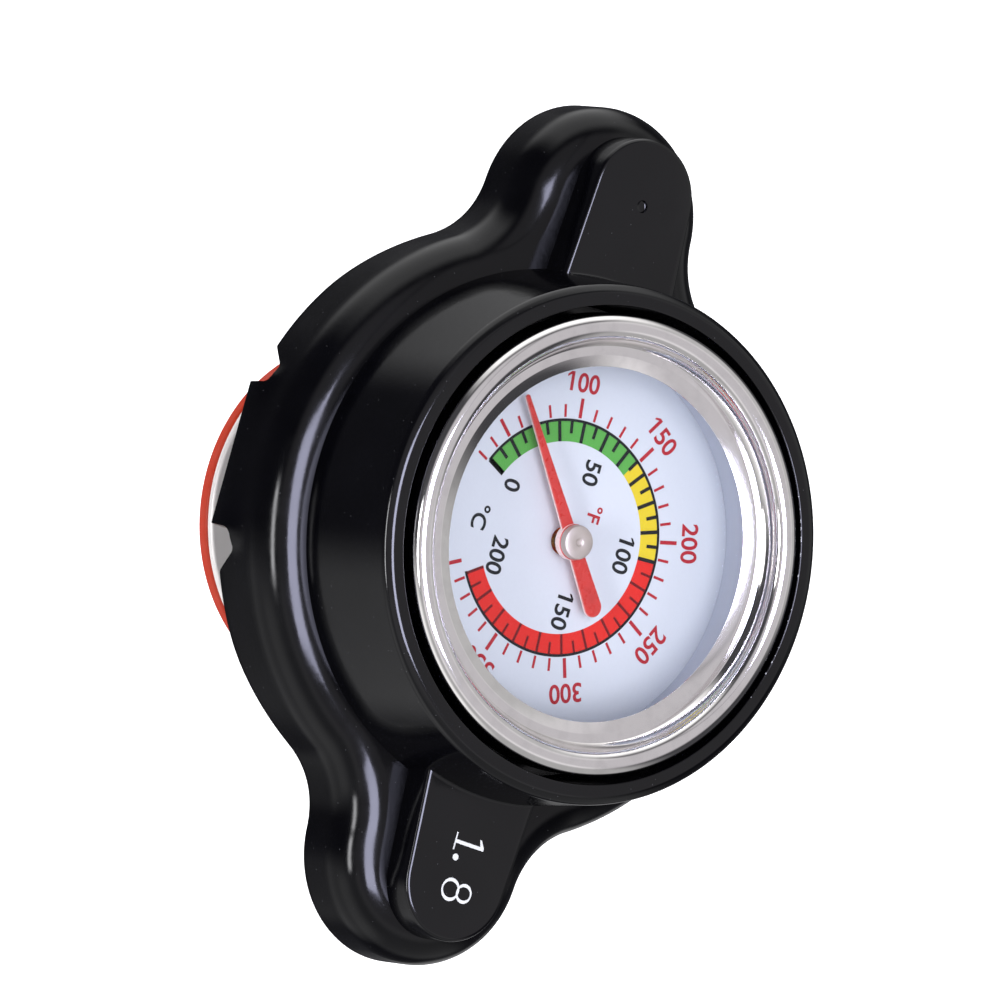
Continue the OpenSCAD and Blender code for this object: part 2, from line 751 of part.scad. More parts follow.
module gasket_retainer() {
    color("#c4c6c8")
        difference() {
            ring(crimp_in_r, retainer_r, retainer_z, retainer_t);
            ports(retainer_z, retainer_t);
        }
}

module vacuum_valve() {
    color("#c2a35a") {
        ring(sleeve_in_r, vacuum_r, vacuum_z, vacuum_disc_t);
        ring(sleeve_in_r, sleeve_r, vacuum_z, sleeve_top_z - vacuum_z);
    }
}

module vacuum_seal() {
    color("#26262a") ring(seal_in_r, seal_r, seal_z, vacuum_seal_t);
}

module vacuum_spring() {
    color("#a6a8aa")
        coil("vacuum_spring", vacuum_coil_r, vacuum_wire, plate_top_z + face_gap,
             vacuum_clip_z - face_gap, vacuum_turns);
}

module vacuum_clip() {
    color("#8f9296") ring(sleeve_r, hub_in_r - 3 * drop_fit, vacuum_clip_z, vacuum_clip_t);
}

cap_shell();
gauge_housing();
wing_screws();
gauge_case();
case_seal();
bezel_ring();
lens();
lens_gasket();
spacer_ring();
dial_plate();
pointer();
pointer_hub();
spindle();
spindle_bush();
stem_collar();
probe_stem();
probe_tip();
bimetal_coil();
stem_nut();
spring_disc();
upper_gasket();
spring_cage();
cage_clip();
main_spring();
valve_plate();
valve_hub();
lower_gasket();
gasket_retainer();
vacuum_valve();
vacuum_seal();
vacuum_spring();
vacuum_clip();
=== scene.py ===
"""Looks of a radiator pressure cap with a dial thermometer in its top.

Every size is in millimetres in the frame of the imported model: the origin is the centre of the
neck seat, +Z points out of the dial, X runs along the wings and the bayonet ears lie at +Y and -Y.
"""
import logging
import math
from collections.abc import Callable, Sequence
from dataclasses import dataclass, field
from enum import Enum

import bmesh
import bpy
from mathutils import Matrix, Vector


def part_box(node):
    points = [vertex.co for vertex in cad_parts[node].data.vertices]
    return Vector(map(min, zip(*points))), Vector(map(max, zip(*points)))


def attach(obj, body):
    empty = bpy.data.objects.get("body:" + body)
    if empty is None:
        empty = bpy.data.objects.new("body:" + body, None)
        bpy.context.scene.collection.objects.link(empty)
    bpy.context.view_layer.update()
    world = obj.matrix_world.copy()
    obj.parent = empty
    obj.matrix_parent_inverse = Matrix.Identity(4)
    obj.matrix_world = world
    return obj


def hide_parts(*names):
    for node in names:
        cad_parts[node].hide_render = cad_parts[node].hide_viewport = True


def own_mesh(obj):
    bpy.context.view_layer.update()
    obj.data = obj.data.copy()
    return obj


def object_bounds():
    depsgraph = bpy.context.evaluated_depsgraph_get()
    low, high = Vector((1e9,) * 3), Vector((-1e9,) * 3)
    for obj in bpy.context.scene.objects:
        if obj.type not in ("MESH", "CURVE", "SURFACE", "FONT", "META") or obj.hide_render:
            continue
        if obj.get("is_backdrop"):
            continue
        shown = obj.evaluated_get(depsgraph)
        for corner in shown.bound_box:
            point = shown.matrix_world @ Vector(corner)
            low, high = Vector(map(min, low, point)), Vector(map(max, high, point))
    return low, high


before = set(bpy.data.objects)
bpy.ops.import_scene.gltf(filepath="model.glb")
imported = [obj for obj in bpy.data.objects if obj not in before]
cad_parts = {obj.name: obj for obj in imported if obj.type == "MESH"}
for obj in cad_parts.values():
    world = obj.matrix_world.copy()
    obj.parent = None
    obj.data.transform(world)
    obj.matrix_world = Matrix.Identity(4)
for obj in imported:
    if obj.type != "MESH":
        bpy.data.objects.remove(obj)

LOG = logging.getLogger("cap")
MM = 0.001
CREASE = 32.0
COIL_STEPS = 48
TYPE_BOLD = 0.018
TYPE_HALF = 0.5

Point2 = tuple[float, float]
Point3 = tuple[float, float, float]
Colour = tuple[float, float, float]


class Body(Enum):
    """The moving bodies of the cap."""

    CAP = "cap"
    NEEDLE = "needle"
    CAGE = "cage"
    PRESSURE = "pressure_valve"
    VACUUM = "vacuum_valve"


class Cut(Enum):
    """How one solid is combined with another."""

    JOIN = "UNION"
    REMOVE = "DIFFERENCE"
    KEEP = "INTERSECT"


class Brush(Enum):
    """Which way the fine lines of a metal finish run."""

    ROUND = "round the axis"
    NONE = "in no direction"


class Ease(Enum):
    """How a value changes from one end of its range to the other."""

    STRAIGHT = "LINEAR"
    SOFT = "SMOOTHSTEP"


def srgb(red: int, green: int, blue: int) -> Colour:
    """Turn a screen colour into the linear colour that a shader takes.

    Args:
        red: Red, from 0 to 255.
        green: Green, from 0 to 255.
        blue: Blue, from 0 to 255.

    Returns:
        The linear colour.
    """
    def linear(value: int) -> float:
        """Return the linear share of one channel."""
        share = value / 255
        return share / 12.92 if share <= 0.04045 else ((share + 0.055) / 1.055) ** 2.4
    return linear(red), linear(green), linear(blue)


class Board:
    """A shader node tree, with short calls that add and join its nodes."""

    def __init__(self, tree: bpy.types.NodeTree) -> None:
        """Take over a tree.

        Args:
            tree: The node tree.
        """
        self.nodes = tree.nodes
        self.links = tree.links

    def add(self, kind: str, **values: object) -> bpy.types.Node:
        """Add a node.

        Args:
            kind: The node's type.
            values: Attributes of the node, such as its operation.

        Returns:
            The new node.
        """
        node = self.nodes.new(kind)
        for name, value in values.items():
            setattr(node, name, value)
        return node

    def math(self, operation: str, *terms: object) -> bpy.types.NodeSocket:
        """Work out a sum of sockets and numbers.

        Args:
            operation: The sum's name, such as MULTIPLY.
            terms: Sockets or plain numbers, in order.

        Returns:
            The result's socket.
        """
        node = self.add("ShaderNodeMath", operation=operation)
        for slot, term in zip(node.inputs, terms):
            if isinstance(term, bpy.types.NodeSocket):
                self.links.new(term, slot)
            else:
                slot.default_value = term
        return node.outputs[0]

    def ramp(self, value: bpy.types.NodeSocket, low: float, high: float, first: float = 0.0,
             last: float = 1.0, ease: Ease = Ease.STRAIGHT) -> bpy.types.NodeSocket:
        """Map a value's range onto another, without passing its ends.

        Args:
            value: The value.
            low: Where its range starts.
            high: Where its range ends.
            first: The result at the start.
            last: The result at the end.
            ease: How the result changes between them.

        Returns:
            The result's socket.
        """
        node = self.add("ShaderNodeMapRange", interpolation_type=ease.value)
        self.links.new(value, node.inputs["Value"])
        for name, number in zip(("From Min", "From Max", "To Min", "To Max"), (low, high, first, last)):
            node.inputs[name].default_value = number
        return node.outputs["Result"]


class Desk(Board):
    """The node tree of one material."""

    def __init__(self, name: str) -> None:
        """Start a material with one principled shader.

        Args:
            name: The material's name.
        """
        self.material = bpy.data.materials.new(name)
        self.material.use_nodes = True
        super().__init__(self.material.node_tree)
        self.shader = self.nodes["Principled BSDF"]
        self.place = self.add("ShaderNodeTexCoord").outputs["Object"]

    def feed(self, source: bpy.types.NodeSocket, socket: str) -> None:
        """Join an output to a socket of the principled shader."""
        self.links.new(source, self.shader.inputs[socket])

    def fix(self, **values: object) -> None:
        """Set sockets of the principled shader, with underscores for the spaces in their names."""
        for name, value in values.items():
            self.shader.inputs[name.replace("_", " ")].default_value = value

    def noise(self, size: float, detail: float = 2.0,
              where: bpy.types.NodeSocket | None = None) -> bpy.types.NodeSocket:
        """Add a soft random pattern.

        Args:
            size: Size of its spots, in millimetres.
            detail: How much finer detail it holds.
            where: Coordinates it is laid on, or none for the piece's own.

        Returns:
            The pattern's value, about 0 to 1.
        """
        node = self.add("ShaderNodeTexNoise")
        node.inputs["Scale"].default_value = 1 / (size * MM)
        node.inputs["Detail"].default_value = detail
        self.links.new(where or self.place, node.inputs["Vector"])
        return node.outputs["Fac"]

    def blend(self, share: bpy.types.NodeSocket, first: object, second: object) -> bpy.types.NodeSocket:
        """Mix two colours.

        Args:
            share: How much of the second colour shows.
            first: A colour, or a colour's socket.
            second: A colour, or a colour's socket.

        Returns:
            The mixed colour's socket.
        """
        node = self.add("ShaderNodeMix", data_type="RGBA")
        self.links.new(share, node.inputs[0])
        for slot, colour in ((node.inputs[6], first), (node.inputs[7], second)):
            if isinstance(colour, bpy.types.NodeSocket):
                self.links.new(colour, slot)
            else:
                slot.default_value = (*colour, 1.0)
        return node.outputs[2]

    def axes(self) -> tuple[bpy.types.NodeSocket, bpy.types.NodeSocket]:
        """Measure where a point of the surface lies.

        Returns:
            Its distance from the cap's axis and its height, in metres.
        """
        split = self.add("ShaderNodeSeparateXYZ")
        self.links.new(self.place, split.inputs[0])
        x_square = self.math("MULTIPLY", split.outputs[0], split.outputs[0])
        square = self.math("MULTIPLY_ADD", split.outputs[1], split.outputs[1], x_square)
        return self.math("SQRT", square), split.outputs[2]

    def toward(self, turn: float, reach: float) -> bpy.types.NodeSocket:
        """Pick out one side of the cap.

        Args:
            turn: Angle of the side's middle from +X, in degrees.
            reach: Angle from its middle to its ends, in degrees.

        Returns:
            1 on that side, 0 on the others, and soft between.
        """
        angle = math.radians(turn)
        side = self.add("ShaderNodeVectorMath", operation="DOT_PRODUCT")
        self.links.new(self.place, side.inputs[0])
        side.inputs[1].default_value = (math.cos(angle), math.sin(angle), 0.0)
        share = self.math("DIVIDE", side.outputs["Value"], self.axes()[0])
        return self.ramp(share, math.cos(math.radians(reach)), math.cos(math.radians(reach / 2)))

    def rings(self, size: float) -> bpy.types.NodeSocket:
        """Draw fine random lines that run round the cap's axis.

        Args:
            size: Width of the lines, in millimetres.

        Returns:
            The pattern's value, about 0 to 1.
        """
        radius, height = self.axes()
        both = self.add("ShaderNodeCombineXYZ")
        self.links.new(radius, both.inputs[0])
        self.links.new(height, both.inputs[2])
        return self.noise(size, 3.0, both.outputs[0])

    def relief(self, height: bpy.types.NodeSocket, depth: float, strength: float = 1.0) -> None:
        """Raise the surface by a pattern.

        Args:
            height: The pattern.
            depth: Height of its hills, in millimetres.
            strength: Share of the relief that shows.
        """
        node = self.add("ShaderNodeBump")
        node.inputs["Distance"].default_value = depth * MM
        node.inputs["Strength"].default_value = strength
        self.links.new(height, node.inputs["Height"])
        self.feed(node.outputs["Normal"], "Normal")


@dataclass(frozen=True)
class Finish:
    """A finish that a material is made from. Each kind of finish paints its own nodes."""

    name: str
    colour: Colour

    def paint(self, desk: Desk) -> None:
        """Lay the finish's nodes on a desk."""
        raise NotImplementedError

    def material(self) -> bpy.types.Material:
        """Make the finish's material, the first time it is asked for.

        Returns:
            The material.
        """
        made = bpy.data.materials.get(self.name)
        if made is None:
            desk = Desk(self.name)
            self.paint(desk)
            made = desk.material
            made.diffuse_color = (*self.colour, 1.0)
        return made


@dataclass(frozen=True)
class Enamel(Finish):
    """Baked black paint: soft gloss, faint orange peel, stray dust and a worn edge where one is named."""

    gloss: tuple[float, float] = (0.14, 0.22)
    shine: float = 0.28
    peel: float = 0.003
    peel_size: float = 0.5
    dust_gap: float = 0.9
    worn_ring: Point2 | None = None
    worn_turn: float = 275.0
    worn_reach: float = 50.0
    worn_width: float = 0.05
    bare: Colour = srgb(196, 198, 206)

    def paint(self, desk: Desk) -> None:
        """Lay the paint, its dust and its worn edge.

        Args:
            desk: The material's node tree.
        """
        cloud = desk.noise(6.0, 3.0)
        lighter = tuple(1.5 * part + 0.0004 for part in self.colour)
        colour = desk.blend(desk.ramp(cloud, 0.35, 0.7), self.colour, lighter)
        dust = desk.add("ShaderNodeTexVoronoi")
        dust.inputs["Scale"].default_value = 1 / (self.dust_gap * MM)
        desk.links.new(desk.place, dust.inputs["Vector"])
        speck = desk.ramp(dust.outputs["Distance"], 0.03, 0.06, 0.09, 0.0)
        colour = desk.blend(speck, colour, self.bare)
        gloss = desk.ramp(desk.noise(2.5, 2.0), 0.3, 0.7, *self.gloss)
        if self.worn_ring is not None:
            worn = self.worn_edge(desk)
            colour = desk.blend(worn, colour, self.bare)
        desk.feed(colour, "Base Color")
        desk.feed(gloss, "Roughness")
        desk.fix(IOR=1.5, Specular_IOR_Level=self.shine)
        desk.relief(desk.noise(self.peel_size, 1.0), self.peel)

    def worn_edge(self, desk: Desk) -> bpy.types.NodeSocket:
        """Find where the paint is rubbed off along a round edge, broken up by noise.

        Args:
            desk: The material's node tree.

        Returns:
            1 on bare metal and 0 on paint.
        """
        radius, height = desk.axes()
        out = desk.math("SUBTRACT", radius, self.worn_ring[0] * MM)
        up = desk.math("SUBTRACT", height, self.worn_ring[1] * MM)
        square = desk.math("MULTIPLY_ADD", out, out, desk.math("MULTIPLY", up, up))
        reach = desk.math("SQRT", square)
        rough = desk.ramp(desk.noise(0.3, 3.0), 0.4, 0.65, 0.0, 1.2)
        spread = desk.toward(self.worn_turn, self.worn_reach)
        limit = desk.math("MULTIPLY", desk.math("MULTIPLY", rough, spread), self.worn_width * MM)
        return desk.math("LESS_THAN", reach, limit)


@dataclass(frozen=True)
class Metal(Finish):
    """A bare or plated metal with fine lines, handling marks and slightly uneven gloss."""

    gloss: tuple[float, float] = (0.16, 0.3)
    brush: Brush = Brush.ROUND
    line: float = 0.12
    depth: float = 0.002
    tarnish: float = 0.35
    bare: float = 1.0

    def paint(self, desk: Desk) -> None:
        """Lay the metal, its lines and its tarnish.

        Args:
            desk: The material's node tree.
        """
        lines = desk.rings(self.line) if self.brush is Brush.ROUND else desk.noise(self.line, 3.0)
        darker = tuple(part * (1 - self.tarnish) for part in self.colour)
        marks = desk.ramp(desk.noise(1.6, 5.0), 0.45, 0.75, 0.0, 0.8)
        desk.feed(desk.blend(marks, self.colour, darker), "Base Color")
        uneven = desk.math("MULTIPLY_ADD", marks, 0.35, lines)
        desk.feed(desk.ramp(uneven, 0.3, 0.9, *self.gloss), "Roughness")
        desk.fix(Metallic=self.bare)
        desk.relief(lines, self.depth, 0.6)


@dataclass(frozen=True)
class Rubber(Finish):
    """Moulded rubber or silicone with a dull skin, fine pores and pale bloom."""

    gloss: tuple[float, float] = (0.4, 0.55)
    pore: float = 0.12
    shine: float = 0.25

    def paint(self, desk: Desk) -> None:
        """Lay the rubber, its pores and its bloom.

        Args:
            desk: The material's node tree.
        """
        bloom = desk.ramp(desk.noise(2.2, 4.0), 0.4, 0.8, 0.0, 0.2)
        paler = tuple(part + 0.1 * (1 - part) for part in self.colour)
        desk.feed(desk.blend(bloom, self.colour, paler), "Base Color")
        desk.feed(desk.ramp(desk.noise(0.8, 2.0), 0.3, 0.7, *self.gloss), "Roughness")
        desk.fix(Specular_IOR_Level=self.shine)
        desk.relief(desk.noise(self.pore, 2.0), 0.006)


@dataclass(frozen=True)
class Print(Finish):
    """Matt ink or lacquer with a faint grain, printed on the dial or on the paint."""

    gloss: float = 0.45
    grain: float = 0.06
    shine: float = 0.2

    def paint(self, desk: Desk) -> None:
        """Lay the ink and its grain.

        Args:
            desk: The material's node tree.
        """
        paper = desk.ramp(desk.noise(0.25, 3.0), 0.3, 0.7, 0.0, self.grain * 2)
        cloud = desk.ramp(desk.noise(7.0, 2.0), 0.3, 0.7, 0.0, self.grain)
        shade = desk.math("ADD", paper, cloud)
        darker = tuple(0.7 * part for part in self.colour)
        desk.feed(desk.blend(shade, self.colour, darker), "Base Color")
        desk.feed(desk.ramp(paper, 0.0, 0.2, self.gloss - 0.08, self.gloss + 0.08), "Roughness")
        desk.fix(Specular_IOR_Level=self.shine)
        desk.relief(desk.noise(0.12, 2.0), 0.002)


@dataclass(frozen=True)
class Lacquer(Finish):
    """Bright sprayed lacquer on a stamped blade, thin and pale on the blade's cut edges."""

    edge: Colour = srgb(244, 222, 220)

    def paint(self, desk: Desk) -> None:
        """Lay the lacquer and let it thin out on the faces that stand upright.

        Args:
            desk: The material's node tree.
        """
        upright = desk.add("ShaderNodeSeparateXYZ")
        coordinates = desk.add("ShaderNodeTexCoord")
        desk.links.new(coordinates.outputs["Normal"], upright.inputs[0])
        flat = desk.math("ABSOLUTE", upright.outputs[2])
        thin = desk.ramp(flat, 0.25, 0.8, 0.9, 0.0)
        cloud = desk.ramp(desk.noise(1.2, 3.0), 0.35, 0.7, 0.0, 0.35)
        deeper = tuple(0.6 * part for part in self.colour)
        body = desk.blend(cloud, self.colour, deeper)
        desk.feed(desk.blend(thin, body, self.edge), "Base Color")
        desk.feed(desk.ramp(desk.noise(0.5, 2.0), 0.3, 0.7, 0.22, 0.36), "Roughness")
        desk.relief(desk.noise(0.3, 1.0), 0.002)


@dataclass(frozen=True)
class Glass(Finish):
    """A clear lens that shows little but a faint sheen and a trace of dust."""

    sheen: float = 0.006
    dust: float = 0.012

    def paint(self, desk: Desk) -> None:
        """Lay the sheen of the clear body and its dust.

        Args:
            desk: The material's node tree.
        """
        dust = desk.ramp(desk.noise(0.9, 5.0), 0.62, 0.8, self.sheen, self.sheen + self.dust)
        tint = desk.blend(desk.noise(9.0, 1.0), self.colour, (1.0, 1.0, 1.0))
        desk.feed(tint, "Base Color")
        desk.feed(dust, "Alpha")
        desk.feed(desk.ramp(desk.noise(3.0, 2.0), 0.3, 0.7, 0.02, 0.06), "Roughness")
        desk.fix(Metallic=1.0)


@dataclass(frozen=True)
class Floor(Finish):
    """A pale studio floor that keeps its own brightness under the part."""

    glow: float = 0.8

    def paint(self, desk: Desk) -> None:
        """Lay the floor's paper and its glow.

        Args:
            desk: The material's node tree.
        """
        grain = desk.ramp(desk.noise(40.0, 2.0), 0.3, 0.7, 0.0, 0.02)
        desk.feed(desk.blend(grain, self.colour, (0.9, 0.9, 0.9)), "Base Color")
        desk.fix(Roughness=1.0, Specular_IOR_Level=0.0)
        desk.fix(Emission_Color=(1.0, 1.0, 1.0, 1.0), Emission_Strength=self.glow)


BLACK = (0.0007, 0.0007, 0.0013)
SHELL_PAINT = Enamel("shell_paint", BLACK, (0.11, 0.19))
SHELL_EDGE = Metal("shell_cut_edge", srgb(205, 198, 190), (0.3, 0.5), Brush.NONE)
HOUSING_PAINT = Enamel("housing_paint", BLACK, (0.09, 0.15), 0.4, worn_ring=(18.73, 13.37))
BEZEL_METAL = Metal("bezel_metal", srgb(234, 231, 230), (0.07, 0.13), Brush.ROUND, 0.09, 0.0003, 0.12)
PLATED = Metal("plated_steel", srgb(208, 208, 208), (0.2, 0.36))
ZINC = Metal("zinc_plate", srgb(236, 232, 230), (0.34, 0.5), Brush.ROUND, 0.2, 0.002, 0.12, 0.3)
SPRING_WIRE = Metal("spring_wire", srgb(178, 180, 184), (0.22, 0.38), Brush.NONE, 0.3, 0.004)
BRASS = Metal("turned_brass", srgb(204, 170, 104), (0.2, 0.36))
COPPERY = Metal("bimetal_strip", srgb(190, 150, 110), (0.25, 0.4), Brush.NONE)
HUB_METAL = Metal("hub_metal", srgb(180, 170, 164), (0.4, 0.55), Brush.ROUND, 0.05, 0.003, 0.2, 0.4)
BLACK_RUBBER = Rubber("moulded_rubber", srgb(28, 28, 30))
SILICONE = Rubber("moulded_silicone", srgb(174, 46, 20), (0.34, 0.48), 0.2)
DIAL_WHITE = Print("dial_paint", srgb(213, 219, 232), 0.4, 0.03)
# Painted shade: the white plastic spacer is coloured darker and bluer than the dial, standing in for the
# bezel's shade at the dial's edge.
SPACER_SHADED = Print("spacer_plastic_painted_shade", srgb(172, 178, 194), 0.5, 0.05)
INK_BLACK = Print("ink_black", srgb(28, 30, 34))
INK_RED = Print("ink_red", srgb(180, 42, 54))
INK_GREEN = Print("ink_green", srgb(92, 170, 80))
INK_YELLOW = Print("ink_yellow", srgb(228, 204, 50))
INK_WARM = Print("ink_warm_red", srgb(222, 46, 40))
INK_DARK_RED = Print("ink_dark_red", srgb(110, 25, 30))
MARK_WHITE = Print("mark_white", srgb(236, 238, 242))
NEEDLE_RED = Lacquer("needle_red", srgb(202, 54, 50))
LENS_CLEAR = Glass("lens_clear", srgb(232, 240, 252))
FLOOR_PAPER = Floor("floor_paper", (0.92, 0.92, 0.92))


@dataclass(frozen=True)
class Corner:
    """A corner of a section or plan, and the radius that rounds it."""

    x: float
    y: float
    round: float = 0.0


@dataclass(frozen=True)
class Span:
    """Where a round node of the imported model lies: its outer radius and its two heights."""

    radius: float
    low: float
    high: float

    @classmethod
    def of(cls, node: str) -> "Span":
        """Measure a node.

        Args:
            node: The node's name.

        Returns:
            Its radius along X and its heights, in millimetres.
        """
        low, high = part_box(node)
        return cls(high.x / MM, low.z / MM, high.z / MM)


def rounded(corners: Sequence[Corner], steps: int = 6) -> list[Point2]:
    """Draw a closed outline with its corners rounded.

    Args:
        corners: The corners in order.
        steps: Parts that each round corner is drawn in.

    Returns:
        The outline's points.
    """
    points: list[Point2] = []
    for index, corner in enumerate(corners):
        here = Vector((corner.x, corner.y))
        if corner.round <= 0:
            points.append((here.x, here.y))
            continue
        before, after = corners[index - 1], corners[(index + 1) % len(corners)]
        back = (Vector((before.x, before.y)) - here).normalized()
        ahead = (Vector((after.x, after.y)) - here).normalized()
        half = back.angle(ahead) / 2
        centre = here + (back + ahead).normalized() * corner.round / math.sin(half)
        reach = corner.round / math.tan(half)
        start, end = here + back * reach - centre, here + ahead * reach - centre
        sweep = start.angle(end)
        for step in range(steps + 1):
            share = step / steps
            spot = start * math.sin((1 - share) * sweep) + end * math.sin(share * sweep)
            spot = centre + spot / math.sin(sweep)
            points.append((spot.x, spot.y))
    return points


def circle(radius: float, steps: int, x: float = 0.0, y: float = 0.0) -> list[Point2]:
    """Return points round a circle, with its centre at a place."""
    turns = [math.tau * step / steps for step in range(steps)]
    return [(x + radius * math.cos(turn), y + radius * math.sin(turn)) for turn in turns]


def quarter_turns(steps: int) -> list[float]:
    """Return the angles that part a quarter turn into equal steps, in radians."""
    return [math.pi / 2 * step / steps for step in range(steps + 1)]


def ring_corners(inner: float, outer: float, low: float, high: float, soft: float) -> list[Corner]:
    """Return the corners of a plain ring's section, all rounded alike."""
    return [Corner(inner, low, soft), Corner(outer, low, soft), Corner(outer, high, soft),
            Corner(inner, high, soft)]


def add_object(name: str, data: bpy.types.ID) -> bpy.types.Object:
    """Put data into the scene as an object.

    Args:
        name: The object's name.
        data: Its mesh, curve, light or camera.

    Returns:
        The new object, at the origin.
    """
    made = bpy.data.objects.new(name, data)
    bpy.context.scene.collection.objects.link(made)
    return made


def settle(mesh: bpy.types.Mesh, crease: float = CREASE) -> None:
    """Close a mesh's seams, turn its faces outwards and shade it smooth but for its edges.

    Args:
        mesh: The mesh.
        crease: Angle in degrees from which an edge stays sharp.
    """
    work = bmesh.new()
    work.from_mesh(mesh)
    bmesh.ops.remove_doubles(work, verts=work.verts, dist=1e-7)
    bmesh.ops.dissolve_degenerate(work, edges=work.edges, dist=1e-8)
    bmesh.ops.recalc_face_normals(work, faces=work.faces)
    work.to_mesh(mesh)
    work.free()
    mesh.shade_smooth()
    mesh.set_sharp_from_angle(angle=math.radians(crease))


def solid(name: str, points: Sequence[Point3], faces: Sequence[Sequence[int]],
          finish: Finish, crease: float = CREASE) -> bpy.types.Object:
    """Make a piece from points in millimetres.

    Args:
        name: The piece's name.
        points: Its points.
        faces: Its faces, as lists of point numbers.
        finish: Its finish.
        crease: Angle in degrees from which an edge stays sharp.

    Returns:
        The new object, at the origin.
    """
    mesh = bpy.data.meshes.new(name)
    mesh.from_pydata([tuple(MM * part for part in point) for point in points], [], faces)
    settle(mesh, crease)
    mesh.materials.append(finish.material())
    return add_object(name, mesh)


def lattice(loops: int, count: int, closed: bool) -> list[Sequence[int]]:
    """List the faces between neighbouring loops of points.

    Args:
        loops: Number of loops.
        count: Points in each loop.
        closed: True where the last loop joins the first.

    Returns:
        The faces, as lists of point numbers.
    """
    return [(row * count + side, row * count + (side + 1) % count,
             (row + 1) % loops * count + (side + 1) % count, (row + 1) % loops * count + side)
            for row in range(loops if closed else loops - 1) for side in range(count)]


def hoop(name: str, loops: Sequence[Sequence[Point3]], finish: Finish,
         crease: float = CREASE) -> bpy.types.Object:
    """Join loops of equal length into a ring, the last loop to the first.

    Args:
        name: The piece's name.
        loops: The loops in order.
        finish: The piece's finish.
        crease: Angle in degrees from which an edge stays sharp.

    Returns:
        The new object.
    """
    points = [point for loop in loops for point in loop]
    return solid(name, points, lattice(len(loops), len(loops[0]), True), finish, crease)


def revolve(name: str, section: Sequence[Point2], finish: Finish, steps: int = 160,
            crease: float = CREASE) -> bpy.types.Object:
    """Turn a closed section round the cap's axis.

    Args:
        name: The piece's name.
        section: Radius and height of the section's points, in order.
        finish: The piece's finish.
        steps: Parts of the full turn.
        crease: Angle in degrees from which an edge stays sharp.

    Returns:
        The new object.
    """
    loops = [[(radius * x, radius * y, height) for radius, height in section] for x, y in circle(1.0, steps)]
    return hoop(name, loops, finish, crease)


def loft(name: str, loops: Sequence[Sequence[Point3]], finish: Finish,
         crease: float = CREASE) -> bpy.types.Object:
    """Join loops of equal length into a closed piece, with a flat face at each end.

    Args:
        name: The piece's name.
        loops: The loops in order.
        finish: The piece's finish.
        crease: Angle in degrees from which an edge stays sharp.

    Returns:
        The new object.
    """
    count = len(loops[0])
    points = [point for loop in loops for point in loop]
    faces = lattice(len(loops), count, False)
    last = (len(loops) - 1) * count
    faces += [tuple(range(count)), tuple(range(last, last + count))]
    return solid(name, points, faces, finish, crease)


def prism(name: str, outline: Sequence[Point2], low: float, high: float, finish: Finish,
          crease: float = CREASE) -> bpy.types.Object:
    """Raise a flat outline into a block between two heights."""
    return loft(name, [[(x, y, z) for x, y in outline] for z in (low, high)], finish, crease)


def as_mesh(piece: bpy.types.Object) -> bpy.types.Mesh:
    """Return the plain mesh that a piece's modifiers make."""
    ready = piece.evaluated_get(bpy.context.evaluated_depsgraph_get())
    return bpy.data.meshes.new_from_object(ready)


def combine(piece: bpy.types.Object, tools: Sequence[tuple[Cut, bpy.types.Object]],
            crease: float = CREASE) -> None:
    """Join other solids to a piece or cut them out of it, and delete them.

    Args:
        piece: The piece that is changed.
        tools: What to do, and the solid to do it with, in order.
        crease: Angle in degrees from which an edge stays sharp.
    """
    for cut, tool in tools:
        modifier = piece.modifiers.new("combine", "BOOLEAN")
        modifier.operation = cut.value
        modifier.solver = "EXACT"
        modifier.material_mode = "TRANSFER"
        modifier.object = tool
    made = as_mesh(piece)
    piece.modifiers.clear()
    piece.data = made
    for _, tool in tools:
        bpy.data.objects.remove(tool)
    settle(made, crease)


def gather(name: str, pieces: Sequence[bpy.types.Object]) -> bpy.types.Object:
    """Bring several pieces of one finish into one object.

    Args:
        name: The joined piece's name.
        pieces: The pieces, which are deleted.

    Returns:
        The joined piece.
    """
    work = bmesh.new()
    for piece in pieces:
        work.from_mesh(piece.data)
    mesh = bpy.data.meshes.new(name)
    work.to_mesh(mesh)
    work.free()
    mesh.materials.append(pieces[0].data.materials[0])
    for piece in pieces:
        bpy.data.objects.remove(piece)
    mesh.set_sharp_from_angle(angle=math.radians(CREASE))
    return add_object(name, mesh)


def fit(piece: bpy.types.Object, body: Body, slot: str | None, *nodes: str) -> bpy.types.Object:
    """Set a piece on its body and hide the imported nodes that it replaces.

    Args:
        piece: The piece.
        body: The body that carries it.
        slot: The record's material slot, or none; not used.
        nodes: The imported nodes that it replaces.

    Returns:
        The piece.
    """
    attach(piece, body.value)
    if nodes:
        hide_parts(*nodes)
    LOG.info("%s rides on %s, %d faces", piece.name, body.value, len(piece.data.polygons))
    return piece


def dress(finish: Finish, *nodes: str) -> None:
    """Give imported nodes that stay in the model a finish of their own.

    Args:
        finish: The finish.
        nodes: The nodes.
    """
    for node in nodes:
        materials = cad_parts[node].data.materials
        materials.clear()
        materials.append(finish.material())
        LOG.info("%s keeps its shape", node)


def ring_piece(name: str, node: str, inner: float, finish: Finish, soft: float, body: Body, slot: str,
               steps: int = 160) -> bpy.types.Object:
    """Make a plain ring in a node's place and set it on its body.

    Args:
        name: The piece's name.
        node: The node that it stands for.
        inner: Inner radius.
        finish: Its finish.
        soft: Rounding of its edges.
        body: The body that carries it.
        slot: The record's material slot.
        steps: Parts of the full turn.

    Returns:
        The new piece.
    """
    span = Span.of(node)
    section = rounded(ring_corners(inner, span.radius, span.low, span.high, soft))
    return fit(revolve(name, section, finish, steps), body, slot, node)


